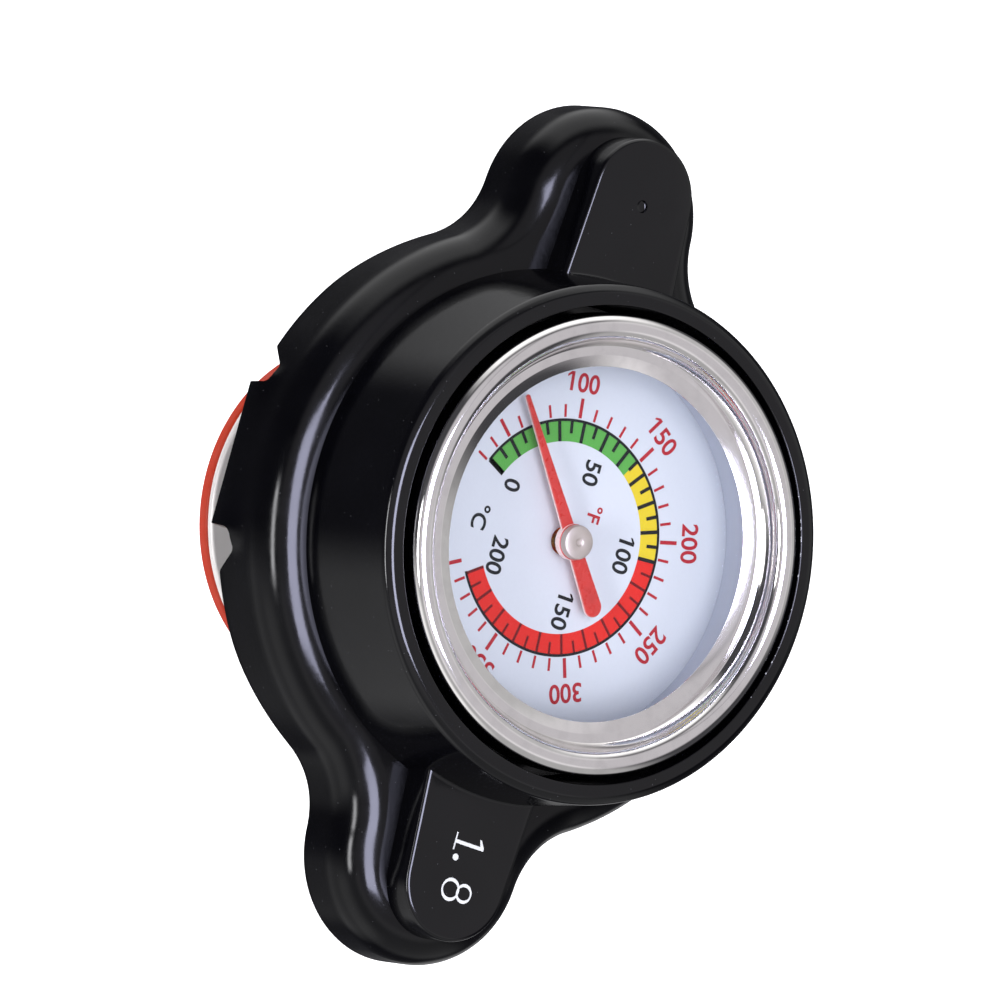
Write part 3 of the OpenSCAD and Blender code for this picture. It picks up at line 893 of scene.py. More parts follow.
class Tree:
    """A geometry node tree with named inputs, which makes one piece."""

    def __init__(self, name: str, inputs: dict[str, float | int]) -> None:
        """Start a tree.

        Args:
            name: The tree's name.
            inputs: The names of its inputs and the values that this piece takes.
        """
        self.group = bpy.data.node_groups.new(name, "GeometryNodeTree")
        self.values = inputs
        face = self.group.interface
        shape = face.new_socket("Geometry", in_out="INPUT", socket_type="NodeSocketGeometry")
        self.sockets = {"Geometry": shape}
        for label, value in inputs.items():
            kind = "NodeSocketInt" if isinstance(value, int) else "NodeSocketFloat"
            self.sockets[label] = face.new_socket(label, in_out="INPUT", socket_type=kind)
        face.new_socket("Geometry", in_out="OUTPUT", socket_type="NodeSocketGeometry")
        self.source = self.group.nodes.new("NodeGroupInput")
        self.result = self.group.nodes.new("NodeGroupOutput")

    def __getitem__(self, label: str) -> bpy.types.NodeSocket:
        """Return the socket of a named input."""
        return self.source.outputs[label]

    def add(self, kind: str, feeds: dict[str | int, object] | None = None,
            **values: object) -> bpy.types.Node:
        """Add a node and feed its sockets.

        Args:
            kind: The node's type.
            feeds: Sockets or values by the name or number of the node's inputs.
            values: Attributes of the node.

        Returns:
            The new node.
        """
        node = self.group.nodes.new(kind)
        for name, value in values.items():
            setattr(node, name, value)
        for slot, value in (feeds or {}).items():
            if isinstance(value, bpy.types.NodeSocket):
                self.group.links.new(value, node.inputs[slot])
            else:
                node.inputs[slot].default_value = value
        return node

    def math(self, operation: str, *terms: object) -> bpy.types.NodeSocket:
        """Work out a sum of sockets and numbers and return its result."""
        return self.add("ShaderNodeMath", dict(enumerate(terms)), operation=operation).outputs[0]

    def polar(self, radius: object, angle: object, height: object) -> bpy.types.NodeSocket:
        """Work out a point from its distance and direction.

        Args:
            radius: Distance from the axis, a socket or a number.
            angle: Angle from +X in radians, a socket or a number.
            height: Height, a socket or a number.

        Returns:
            The point's socket.
        """
        along = self.math("MULTIPLY", radius, self.math("COSINE", angle))
        across = self.math("MULTIPLY", radius, self.math("SINE", angle))
        return self.add("ShaderNodeCombineXYZ", {0: along, 1: across, 2: height}).outputs[0]

    def finish(self, shape: bpy.types.NodeSocket, finish: Finish) -> None:
        """End the tree: make every copy real and give it its finish.

        Args:
            shape: The shape that the tree has made.
            finish: Its finish.
        """
        real = self.add("GeometryNodeRealizeInstances", {"Geometry": shape})
        dressed = self.add("GeometryNodeSetMaterial", {"Geometry": real.outputs[0]})
        dressed.inputs["Material"].default_value = finish.material()
        self.group.links.new(dressed.outputs[0], self.result.inputs[0])

    def run(self, name: str, start: bpy.types.Mesh | None = None, crease: float = CREASE) -> bpy.types.Object:
        """Make the piece as a plain mesh.

        Args:
            name: The piece's name.
            start: A mesh that the tree takes in, or none.
            crease: Angle in degrees from which an edge stays sharp.

        Returns:
            The new object, with no modifier.
        """
        piece = add_object(name, start or bpy.data.meshes.new(name))
        modifier = piece.modifiers.new("tree", "NODES")
        modifier.node_group = self.group
        for label, value in self.values.items():
            modifier[self.sockets[label].identifier] = value
        made = as_mesh(piece)
        piece.modifiers.clear()
        piece.data = made
        settle(made, crease)
        return piece


def tick_ring(name: str, finish: Finish, count: int, start: float, step: float, inner: float,
              length: float, width: float, low: float, thick: float) -> bpy.types.Object:
    """Print a ring of short radial bars.

    Args:
        name: The piece's name.
        finish: Its ink.
        count: Number of bars.
        start: Angle of the first bar, in degrees.
        step: Angle from bar to bar, in degrees.
        inner: Radius at which the bars start.
        length: Length of a bar.
        width: Width of a bar.
        low: Height that the bars lie on.
        thick: Thickness of the ink.

    Returns:
        The new object.
    """
    tree = Tree(name, {"Count": count, "Start": math.radians(start), "Step": math.radians(step),
                       "Inner": inner * MM, "Length": length * MM, "Width": width * MM,
                       "Low": low * MM, "Thick": thick * MM})
    line = tree.add("GeometryNodeMeshLine", {"Count": tree["Count"]})
    number = tree.add("GeometryNodeInputIndex").outputs[0]
    angle = tree.math("MULTIPLY_ADD", number, tree["Step"], tree["Start"])
    middle = tree.math("MULTIPLY_ADD", tree["Length"], 0.5, tree["Inner"])
    height = tree.math("MULTIPLY_ADD", tree["Thick"], 0.5, tree["Low"])
    spots = tree.add("GeometryNodeSetPosition",
                     {"Geometry": line.outputs[0], "Position": tree.polar(middle, angle, height)})
    size = tree.add("ShaderNodeCombineXYZ", {0: tree["Length"], 1: tree["Width"], 2: tree["Thick"]})
    bar = tree.add("GeometryNodeMeshCube", {"Size": size.outputs[0]})
    turn = tree.add("ShaderNodeCombineXYZ", {2: angle})
    bars = tree.add("GeometryNodeInstanceOnPoints",
                    {"Points": spots.outputs[0], "Instance": bar.outputs[0], "Rotation": turn.outputs[0]})
    tree.finish(bars.outputs[0], finish)
    return tree.run(name)


def coil_spring(name: str, finish: Finish, radius: float, wire: float, low: float, high: float,
                turns: float, ease: float, sides: int = 14) -> bpy.types.Object:
    """Wind a wire into a spring whose ends run level.

    Args:
        name: The piece's name.
        finish: Its finish.
        radius: Radius of the wire's centre line.
        wire: Diameter of the wire.
        low: Lowest point of the spring.
        high: Highest point of the spring.
        turns: Number of turns.
        ease: Turns over which each end runs out level.
        sides: Sides of the wire.

    Returns:
        The new object.
    """
    tree = Tree(name, {"Radius": radius * MM, "Wire": wire * MM / 2, "Low": (low + wire / 2) * MM,
                       "Rise": (high - low - wire) * MM, "Turns": turns, "Ease": ease, "Sides": sides,
                       "Steps": round(COIL_STEPS * turns) + 1})
    line = tree.add("GeometryNodeCurvePrimitiveLine")
    fine = tree.add("GeometryNodeResampleCurve", {"Curve": line.outputs[0], "Count": tree["Steps"]})
    along = tree.add("GeometryNodeSplineParameter").outputs["Factor"]
    turn = tree.math("MULTIPLY", along, tree["Turns"])
    double = tree.math("MULTIPLY", tree["Ease"], 2.0)
    start = tree.math("MINIMUM", turn, tree["Ease"])
    left = tree.math("SUBTRACT", tree["Turns"], turn)
    end = tree.math("MAXIMUM", tree.math("SUBTRACT", tree["Ease"], left), 0.0)
    bow = tree.math("DIVIDE", tree.math("MULTIPLY", start, start), double)
    tail = tree.math("DIVIDE", tree.math("MULTIPLY", end, end), double)
    climb = tree.math("SUBTRACT", tree.math("ADD", tree.math("SUBTRACT", turn, start), bow), tail)
    share = tree.math("DIVIDE", climb, tree.math("SUBTRACT", tree["Turns"], tree["Ease"]))
    height = tree.math("MULTIPLY_ADD", share, tree["Rise"], tree["Low"])
    angle = tree.math("MULTIPLY", turn, math.tau)
    path = tree.add("GeometryNodeSetPosition",
                    {"Geometry": fine.outputs[0], "Position": tree.polar(tree["Radius"], angle, height)})
    profile = tree.add("GeometryNodeCurvePrimitiveCircle",
                       {"Resolution": tree["Sides"], "Radius": tree["Wire"]})
    tube = tree.add("GeometryNodeCurveToMesh",
                    {"Curve": path.outputs[0], "Profile Curve": profile.outputs[0], "Fill Caps": True})
    tree.finish(tube.outputs[0], finish)
    return tree.run(name, crease=50.0)


def add_flag(mesh: bpy.types.Mesh, left: float, top: float) -> None:
    """Add the short slanted flag of a figure one, which the type leaves off.

    Args:
        mesh: The raised figures, with the figure one first.
        left: The left side of the figure's stem.
        top: The top of the stem.
    """
    reach, fall, thick, root = 0.17, 0.14, 0.09, 0.12
    outline = ((left, top), (left - reach, top - fall), (left - reach, top - fall - thick),
               (left, top - root))
    work = bmesh.new()
    work.from_mesh(mesh)
    levels = [[work.verts.new((x, y, z)) for x, y in outline] for z in (-TYPE_HALF, TYPE_HALF)]
    for level in levels:
        work.faces.new(level)
    for side in range(4):
        after = (side + 1) % 4
        work.faces.new((levels[0][side], levels[0][after], levels[1][after], levels[1][side]))
    work.to_mesh(mesh)
    work.free()


def lettering(words: str, height: float, turn: float, place: Point2, low: float, thick: float,
              finish: Finish, stretch: float = 1.0) -> bpy.types.Object:
    """Print plain figures, centred on a place.

    Args:
        words: The figures.
        height: Height of a figure.
        turn: Angle that they are turned by, in degrees.
        place: Where their middle lies.
        low: Height that they lie on.
        thick: Thickness of the ink.
        finish: The ink.
        stretch: Width of the figures against the type's own.

    Returns:
        The figures as a mesh object.
    """
    curve = bpy.data.curves.new("figures", "FONT")
    curve.body = words
    curve.resolution_u = 5
    curve.offset = TYPE_BOLD
    curve.extrude = TYPE_HALF
    text = add_object("figures", curve)
    mesh = as_mesh(text)
    bpy.data.objects.remove(text)
    xs = [vertex.co.x for vertex in mesh.vertices]
    ys = [vertex.co.y for vertex in mesh.vertices]
    middle = Vector(((min(xs) + max(xs)) / 2, (min(ys) + max(ys)) / 2, -TYPE_HALF))
    scale = height * MM / (max(ys) - min(ys))
    if words.startswith("1"):
        add_flag(mesh, min(xs), max(ys))
    mesh.transform(Matrix.Translation(-middle))
    mesh.transform(Matrix.Diagonal((scale * stretch, scale, thick * MM, 1.0)))
    mesh.transform(Matrix.Rotation(math.radians(turn), 4, "Z"))
    mesh.transform(Matrix.Translation(Vector((place[0], place[1], low)) * MM))
    settle(mesh)
    mesh.materials.clear()
    mesh.materials.append(finish.material())
    return add_object("figures", mesh)


def smooth(share: float) -> float:
    """Ease a share from 0 to 1."""
    share = min(1.0, max(0.0, share))
    return share * share * (3 - 2 * share)


@dataclass
class CapShell:
    """The pressed black shell: a round skirt with two wings, two bayonet ears and their notches."""

    boss_r: float = 20.3
    shoulder: float = 3.85
    wing_r: float = 8.78
    wing_out: float = 1.75
    fillet_r: float = 7.07
    edge_r: float = 3.3
    sheet: float = 1.2
    wing_lift: float = 1.15
    lift_x: float = 14.0
    ear_w: float = 11.3
    ear_shift: float = 0.55
    ear_in: float = 18.8
    ear_more: float = 0.6
    notch_w: float = 2.0
    notch_h: float = 2.3
    notch_r: float = 0.5
    notch_run: float = 1.6
    notch_flare: float = 1.2
    collar_hole: float = 4.55
    screw_hole: float = 1.35
    screw_out: float = 1.25
    lip: float = 0.3
    fold_r: float = 0.45
    crease_r: float = 0.3
    sharp: float = 40.0
    span: Span = field(default_factory=lambda: Span.of("cap_shell"))

    @property
    def radius(self) -> float:
        """Radius of the round skirt."""
        return self.boss_r + self.shoulder

    @property
    def wing_x(self) -> float:
        """Distance from the axis to the centre of a wing's round end."""
        return self.radius + self.wing_out

    @property
    def fold_z(self) -> float:
        """Height at which the skirt bends into an ear."""
        return self.span.low + self.sheet

    def quarter(self) -> list[tuple[Vector, Vector]]:
        """Draw a quarter of the plan from a wing's end to the side of the body.

        Returns:
            Points on the plan, each with the direction that faces out of the sheet.
        """
        reach, near = self.radius + self.fillet_r, self.wing_r + self.fillet_r
        hollow_x = (reach ** 2 - near ** 2 + self.wing_x ** 2) / (2 * self.wing_x)
        hollow = Vector((hollow_x, math.sqrt(reach ** 2 - hollow_x ** 2)))
        body_turn = math.atan2(hollow.y, hollow.x)
        wing_turn = math.atan2(hollow.y, hollow.x - self.wing_x)
        spots: list[tuple[Vector, Vector]] = []

        def arc(centre: Vector, radius: float, out: int, start: float, end: float, steps: int) -> None:
            """Add the points of one arc, without the first where another arc ends there.

            Args:
                centre: The arc's centre.
                radius: Its radius.
                out: 1 where the sheet lies inside the arc, -1 where it lies outside.
                start: Angle at which it starts, in radians.
                end: Angle at which it ends, in radians.
                steps: Parts that it is drawn in.
            """
            for step in range(1 if spots else 0, steps + 1):
                turn = start + (end - start) * step / steps
                ray = Vector((math.cos(turn), math.sin(turn)))
                spots.append((centre + radius * ray, out * ray))

        arc(Vector((self.wing_x, 0)), self.wing_r, 1, 0, wing_turn, 36)
        arc(hollow, self.fillet_r, -1, math.pi + wing_turn, math.pi + body_turn, 28)
        arc(Vector((0, 0)), self.radius, 1, body_turn, math.pi / 2, 48)
        return spots

    def plan(self) -> list[tuple[Vector, Vector]]:
        """Draw the whole plan, anticlockwise from the end of the wing at +X.

        Returns:
            Points on the plan, each with the direction that faces out of the sheet.
        """
        first = self.quarter()

        def flip(spots: Sequence[tuple[Vector, Vector]], x: int, y: int) -> list[tuple[Vector, Vector]]:
            """Mirror some points."""
            return [tuple(Vector((x * part.x, y * part.y)) for part in spot) for spot in spots]

        return (first + flip(first[-2::-1], -1, 1) + flip(first[1:], -1, -1) + flip(first[-2:0:-1], 1, -1))

    def lower_edge(self, x: float) -> float:
        """Return the height of the skirt's lower edge, which rises under the wings."""
        run = min(1.0, max(0.0, (abs(x) - self.lift_x) / (self.radius - self.lift_x)))
        return self.span.low + self.wing_lift * (1 - math.cos(math.pi * run)) / 2

    def ear_offset(self, spot: Vector) -> float:
        """Return the distance along the skirt from the middle of the nearest ear."""
        side = 1 if spot.y > 0 else -1
        return abs(side * spot.x + self.ear_shift)

    def flat_share(self, spot: Vector, z: float) -> float:
        """Find how far the skirt is flattened above an ear.

        Args:
            spot: A point on the plan.
            z: A height.

        Returns:
            1 where the skirt is flat, 0 where it is round.
        """
        if abs(spot.x) > self.lift_x:
            return 0.0
        near = 1 - smooth((self.ear_offset(spot) - self.ear_w / 2) / self.notch_w)
        top = self.fold_z + self.notch_h + self.lip
        return near * smooth((top - z) / (top - self.fold_z))

    def foot(self, low: float) -> tuple[list[Point2], list[Point2]]:
        """Draw the plain lower edge.

        Args:
            low: Height of the edge.

        Returns:
            Its outer and its inner rounding, as insets and heights.
        """
        turns = quarter_turns(11)
        outer = [(self.lip * (1 - math.sin(turn)), low + self.lip * (1 - math.cos(turn))) for turn in turns]
        return outer, [(self.sheet - inset, z) for inset, z in reversed(outer)]

    def ear_foot(self) -> tuple[list[Point2], list[Point2]]:
        """Draw an ear in place of the lower edge.

        Returns:
            The outside of its fold and the inside, as insets and heights.
        """
        low, depth, soft = self.span.low, self.radius - self.ear_in, self.lip
        turns = quarter_turns(9)
        outer = [(depth, low + soft), (depth - soft, low)]
        outer += [(self.fold_r * (1 - math.sin(turn)), low + self.fold_r * (1 - math.cos(turn)))
                  for turn in turns]
        bend, centre = self.crease_r, self.sheet + self.crease_r
        inner = [(centre - bend * math.cos(turn), low + centre - bend * math.sin(turn)) for turn in turns]
        return outer, [*inner, (depth - soft, self.fold_z), (depth, self.fold_z - soft)]

    def section(self, feet: tuple[list[Point2], list[Point2]]) -> list[Point2]:
        """Draw the sheet's section over a lower edge.

        Args:
            feet: The outer and the inner half of the lower edge.

        Returns:
            Insets from the plan and heights, up the outside and down the inside.
        """
        spring_z, inner_r = self.span.high - self.edge_r, self.edge_r - self.sheet
        walls, bends = 8, quarter_turns(14)
        start, end = feet[0][-1][1], feet[1][0][1]
        outer = [(0.0, start + (spring_z - start) * row / walls) for row in range(1, walls)]
        outer += [(self.edge_r * (1 - math.cos(turn)), spring_z + self.edge_r * math.sin(turn))
                  for turn in bends]
        inner = [(self.edge_r - inner_r * math.cos(turn), spring_z + inner_r * math.sin(turn))
                 for turn in reversed(bends)]
        inner += [(self.sheet, spring_z + (end - spring_z) * row / walls) for row in range(1, walls)]
        return feet[0] + outer + inner + feet[1]

    def column(self, spot: Vector, out: Vector) -> list[Point3]:
        """Stand the sheet's section on one point of the plan, flattened above an ear.

        Args:
            spot: The point on the plan.
            out: The direction that faces out of the sheet there.

        Returns:
            The section's points in space.
        """
        ear = abs(spot.x) < self.lift_x and self.ear_offset(spot) < self.ear_w / 2 + self.ear_more
        side = 1 if spot.y > 0 else -1
        points: list[Point3] = []
        for inset, z in self.section(self.ear_foot() if ear else self.foot(self.lower_edge(spot.x))):
            curved = spot - inset * out
            flat = Vector((spot.x, side * (self.radius - inset)))
            at = curved.lerp(flat, self.flat_share(spot, z))
            points.append((at.x, at.y, z))
        return points

    def sheet_solid(self) -> bpy.types.Object:
        """Press the sheet: its skirt, its two folded ears, its rounded edge and its flat top.

        Returns:
            The sheet as a solid.
        """
        columns = [self.column(spot, out) for spot, out in self.plan()]
        count, rows = len(columns), len(columns[0])
        crown = rows // 2 - 1
        points = [point for column in columns for point in column]
        faces = [face for face in lattice(count, rows, True) if face[0] % rows != crown]
        half = count // 2
        for row in (crown, crown + 1):
            for side in range(half):
                strip = [side, side + 1, count - side - 1, (count - side) % count]
                faces.append([rows * at + row for at in dict.fromkeys(strip)])
        return solid("cap_shell_skin", points, faces, SHELL_PAINT, self.sharp)

    def notch_solid(self, side: int, end: int) -> bpy.types.Object:
        """Make the block that cuts one relief notch beside an ear.

        Args:
            side: 1 for the ear at +Y, -1 for the one at -Y.
            end: The end of the ear that it lies at, 1 or -1.

        Returns:
            The block.
        """
        middle = -self.ear_shift + end * (self.ear_w + self.notch_w) / 2
        half, low, high = self.notch_w / 2, -0.04, self.notch_h
        draft, under, run = 0.25, -1.0, self.notch_run
        outline = rounded([
            Corner(-half, under), Corner(-half + draft, high, self.notch_r),
            Corner(half - draft, high, self.notch_r), Corner(half + run, low, self.notch_flare),
            Corner(half + 2 * run, low), Corner(half + 2 * run, under)], 8)
        depths = (self.ear_in - 1, self.radius + 2)
        loops = [[(side * (middle + end * x), side * y, self.span.low + z) for x, z in outline]
                 for y in depths]
        return loft("notch", loops, SHELL_EDGE)

    def hole_solid(self, x: float, radius: float) -> bpy.types.Object:
        """Return the block that cuts one round hole in the top."""
        top = self.span.high
        return prism("hole", circle(radius, 64, x), top - 2 * self.sheet, top + 1, SHELL_EDGE)

    def build(self) -> None:
        """Make the shell and set it on the cap."""
        shell = self.sheet_solid()
        sides = (1, -1)
        tools = [(Cut.REMOVE, self.notch_solid(side, end)) for side in sides for end in (1, -1)]
        screw_x = self.wing_x + self.screw_out
        holes = ((0.0, self.collar_hole), (screw_x, self.screw_hole), (-screw_x, self.screw_hole))
        tools += [(Cut.REMOVE, self.hole_solid(x, radius)) for x, radius in holes]
        combine(shell, tools, self.sharp)
        fit(shell, Body.CAP, "black_enamel", "cap_shell")


@dataclass
class GaugeHousing:
    """The black housing on the shell: a round boss with a bore for the gauge, and two arms."""

    bore_r: float = 18.65
    boss_r: float = 20.3
    floor: float = 1.9
    collar_hole: float = 4.55
    rim_r: float = 19.65
    rim_drop: float = 0.15
    chamfer_h: float = 0.52
    edge_r: float = 0.75
    bore_edge: float = 0.15
    flare: float = 0.7
    fillet_r: float = 0.3
    arm_h: float = 2.8
    arm_x: float = 27.8
    arm_tip_r: float = 4.7
    arm_sink: float = 0.35
    arm_taper: float = 4.4
    arm_edge: float = 0.4
    arm_root: float = 0.4
    fillet_root: float = 0.5
    dimple_x: float = 27.15
    dimple_r: float = 0.5
    groove_in: float = 10.8
    groove_out: float = 12.3
    groove_h: float = 0.75
    ink: float = 0.02
    dot_r: float = 0.27
    dot_y: float = 0.45
    mark_xs: Point3 = (24.75, 25.97, 28.5)
    mark_y: float = 1.2
    span: Span = field(default_factory=lambda: Span.of("gauge_housing"))

    def wall_at(self, z: float) -> float:
        """Return the radius of the boss's wall, which is widest at its foot, at a height."""
        rise = (z - self.span.low) / (self.span.high - self.rim_drop - self.chamfer_h - self.span.low)
        return self.boss_r + self.flare * (1 - rise)

    def boss(self) -> bpy.types.Object:
        """Turn the round boss with its flare, its chamfer, its bore, its floor and the seal's groove.

        Returns:
            The boss as a solid.
        """
        low, high = self.span.low, self.span.high - self.rim_drop
        floor_z = low + self.floor
        section = rounded([
            Corner(self.collar_hole, low), Corner(self.wall_at(low), low),
            Corner(self.boss_r, high - self.chamfer_h, self.edge_r), Corner(self.rim_r, high, self.edge_r),
            Corner(self.bore_r, high, self.bore_edge), Corner(self.bore_r, floor_z, 0.2),
            Corner(self.groove_out, floor_z), Corner(self.groove_out, floor_z - self.groove_h),
            Corner(self.groove_in, floor_z - self.groove_h), Corner(self.groove_in, floor_z),
            Corner(self.collar_hole, floor_z)], 8)
        return revolve("gauge_housing_skin", section, HOUSING_PAINT, 240)

    def arm_fillet(self, side: int) -> bpy.types.Object:
        """Make the hollow fillet where an arm's top meets the boss.

        Args:
            side: 1 for the arm at +X, -1 for the one at -X.

        Returns:
            The fillet as a solid.
        """
        top, root, thin = self.span.low + self.arm_h, self.bore_r + self.fillet_root, 0.03
        lip, low, high = top + thin, top - self.fillet_r, top + 2 * self.fillet_r
        out = self.wall_at(lip) + self.fillet_r
        section = rounded([Corner(root, low), Corner(out, low), Corner(out, lip),
                           Corner(self.wall_at(lip), lip, self.fillet_r - 0.02),
                           Corner(self.wall_at(high) - thin, high), Corner(root, high)], 8)
        fillet = revolve("fillet", section, HOUSING_PAINT, 240)
        plan = [(side * x, side * y) for x, y in self.arm_plan(self.arm_edge)]
        keep = prism("keep", plan, top - 1, high + 1, HOUSING_PAINT)
        combine(fillet, [(Cut.KEEP, keep)])
        return fillet

    def arm_plan(self, inset: float) -> list[Point2]:
        """Draw the plan of the arm at +X.

        Args:
            inset: How far inside its outline the plan lies.

        Returns:
            The plan's points.
        """
        tip = self.arm_tip_r - inset
        lean = math.radians(self.arm_taper)
        root_x = self.bore_r + self.arm_root
        sweep = math.pi / 2 - lean
        steps = 40
        turns = [sweep * (2 * step / steps - 1) for step in range(steps + 1)]
        points = [(self.arm_x + tip * math.cos(turn), tip * math.sin(turn)) for turn in turns]
        root = tip / math.cos(lean) + (self.arm_x - root_x) * math.tan(lean)
        return [(root_x, -root), *points, (root_x, root)]

    def arm(self, side: int) -> bpy.types.Object:
        """Make one arm with a softened upper edge.

        Args:
            side: 1 for the arm at +X, -1 for the one at -X.

        Returns:
            The arm as a solid.
        """
        top = self.span.low + self.arm_h
        rows = [(0.0, self.span.low - self.arm_sink)]
        rows += [(self.arm_edge * (1 - math.cos(turn)), top - self.arm_edge * (1 - math.sin(turn)))
                 for turn in quarter_turns(4)]
        loops = [[(side * x, side * y, z) for x, y in self.arm_plan(inset)] for inset, z in rows]
        return loft("arm", loops, HOUSING_PAINT)

    def dimple(self) -> bpy.types.Object:
        """Make the round punch that marks one arm.

        Returns:
            The punch.
        """
        top = self.span.low + self.arm_h
        rows = [(0.0, -0.25), (0.25, -0.25), (0.42, -0.18), (self.dimple_r, 0.0), (self.dimple_r + 0.05, 0.5),
                (0.0, 0.5)]
        punch = revolve("dimple", rows, HOUSING_PAINT, 40)
        punch.data.transform(Matrix.Translation(Vector((self.dimple_x, 0.0, top)) * MM))
        return punch

    def figure_one(self) -> bpy.types.Object:
        """Draw a plain figure one with feet.

        Returns:
            The figure, upright at the origin.
        """
        return self.inked([
            (-0.7, 0.0), (0.7, 0.0), (0.7, 0.12), (0.14, 0.12), (0.14, 2.8), (-0.1, 2.8), (-0.66, 2.43),
            (-0.66, 2.28), (-0.14, 2.46), (-0.14, 0.12), (-0.7, 0.12)])

    def figure_eight(self) -> bpy.types.Object:
        """Draw a plain figure eight.

        Returns:
            The figure, upright at the origin.
        """
        lower = self.loop_ink(0.78, 0.92, 0.84, 0.14)
        combine(lower, [(Cut.JOIN, self.loop_ink(2.1, 0.78, 0.73, 0.13))])
        return lower

    def inked(self, outline: Sequence[Point2]) -> bpy.types.Object:
        """Raise an outline by the thickness of the paint."""
        return prism("ink", outline, 0.0, self.ink, MARK_WHITE)

    def loop_ink(self, y: float, wide: float, high: float, thin: float) -> bpy.types.Object:
        """Paint an oval ring that is thicker at its sides than at its top.

        Args:
            y: Height of its middle.
            wide: Half of its width.
            high: Half of its height.
            thin: Thickness at its top.

        Returns:
            The ring as a solid.
        """
        outer = (wide, high)
        inner = (wide - 2 * thin, high - thin)
        levels = ((outer, 0.0), (outer, self.ink), (inner, self.ink), (inner, 0.0))
        loops = [[(half[0] * x, y + half[1] * across, z) for x, across in circle(1.0, 40)]
                 for half, z in levels]
        return hoop("ink", loops, MARK_WHITE)

    def mark(self) -> bpy.types.Object:
        """Paint the plain pressure figure on the arm at -X.

        Returns:
            The painted figure.
        """
        dot = circle(self.dot_r, 24, 0.0, self.dot_y)
        parts = [self.figure_one(), self.inked(dot), self.figure_eight()]
        for piece, along in zip(parts, self.mark_xs):
            piece.data.transform(Matrix.Rotation(math.pi, 4, "Z"))
            spot = Vector((-along, self.mark_y, self.span.low + self.arm_h))
            piece.data.transform(Matrix.Translation(spot * MM))
        return gather("pressure_figure", parts)

    def build(self) -> None:
        """Make the housing and its painted figure and set them on the cap."""
        housing = self.boss()
        joined = [make(side) for side in (1, -1) for make in (self.arm, self.arm_fillet)]
        combine(housing, [*((Cut.JOIN, piece) for piece in joined), (Cut.REMOVE, self.dimple())])
        fit(housing, Body.CAP, "black_housing", "gauge_housing")
        fit(self.mark(), Body.CAP, None)


@dataclass
class Gauge:
    """The gauge's case: its rolled bezel, lens, spacer and seals."""

    view_r: float = 13.85
    slope_w: float = 0.55
    crown: float = 0.05
    dip_w: float = 1.0
    lip_h: float = 0.07
    bead_r: float = 1.0
    wall: float = 0.35
    edge: float = 0.1
    sharp: float = 40.0
    spacer_w: float = 0.8
    bezel: Span = field(default_factory=lambda: Span.of("bezel_ring"))
    lens: Span = field(default_factory=lambda: Span.of("lens"))
    gasket: Span = field(default_factory=lambda: Span.of("lens_gasket"))

    def bezel_section(self) -> list[Point2]:
        """Draw the bezel: a skirt, a rolled bead, a short slope and a ring that dips to the lens.

        Returns:
            Radii and heights of the section's points.
        """
        outer, low = self.bezel.radius, self.bezel.low
        bead_x, bead_z = outer - self.bead_r, self.bezel.high - self.bead_r
        rim = self.gasket.high
        flat = rim + self.wall
        groove = bead_x - self.bead_r - self.slope_w
        points: list[Point2] = [(outer - 2 * self.wall, low), (outer - self.edge, low),
                                (outer, low + self.edge)]
        rise = [math.radians(turn) for turn in range(0, 181, 9)]
        points += [(bead_x + self.bead_r * math.cos(turn), bead_z + self.bead_r * math.sin(turn))
                   for turn in rise]
        ring = rounded([
            Corner(bead_x - self.bead_r, bead_z), Corner(groove, flat - self.crown, 0.1),
            Corner(self.view_r + self.dip_w, flat + self.crown, 0.5),
            Corner(self.view_r, rim + self.lip_h, 0.02), Corner(self.view_r, rim),
            Corner(outer - self.wall, rim), Corner(outer - self.wall, low + self.wall),
            Corner(outer - 2 * self.wall, low + self.wall)], 7)
        return points + ring[1:]

    def build(self) -> None:
        """Make the gauge's round pieces and set them on the cap."""
        bezel = revolve("bezel_skin", self.bezel_section(), BEZEL_METAL, 320, self.sharp)
        fit(bezel, Body.CAP, "bezel_steel", "bezel_ring")
        lens = self.lens
        rim = rounded([Corner(0.0, lens.low), Corner(lens.radius, lens.low, 0.15),
                       Corner(lens.radius, lens.high, 0.2), Corner(0.0, lens.high)])
        glass = revolve("lens_skin", rim, LENS_CLEAR)
        fit(glass, Body.CAP, "lens_glass", "lens")
        spacer_in = Span.of("spacer_ring").radius - self.spacer_w
        # The spacer's darker, bluer colour is painted shade from the bezel, not the plastic's own colour.
        ring_piece("spacer_skin", "spacer_ring", spacer_in, SPACER_SHADED, 0.12, Body.CAP, "spacer_white", 200)
        dress(PLATED, "gauge_case")
        dress(BLACK_RUBBER, "case_seal", "lens_gasket")


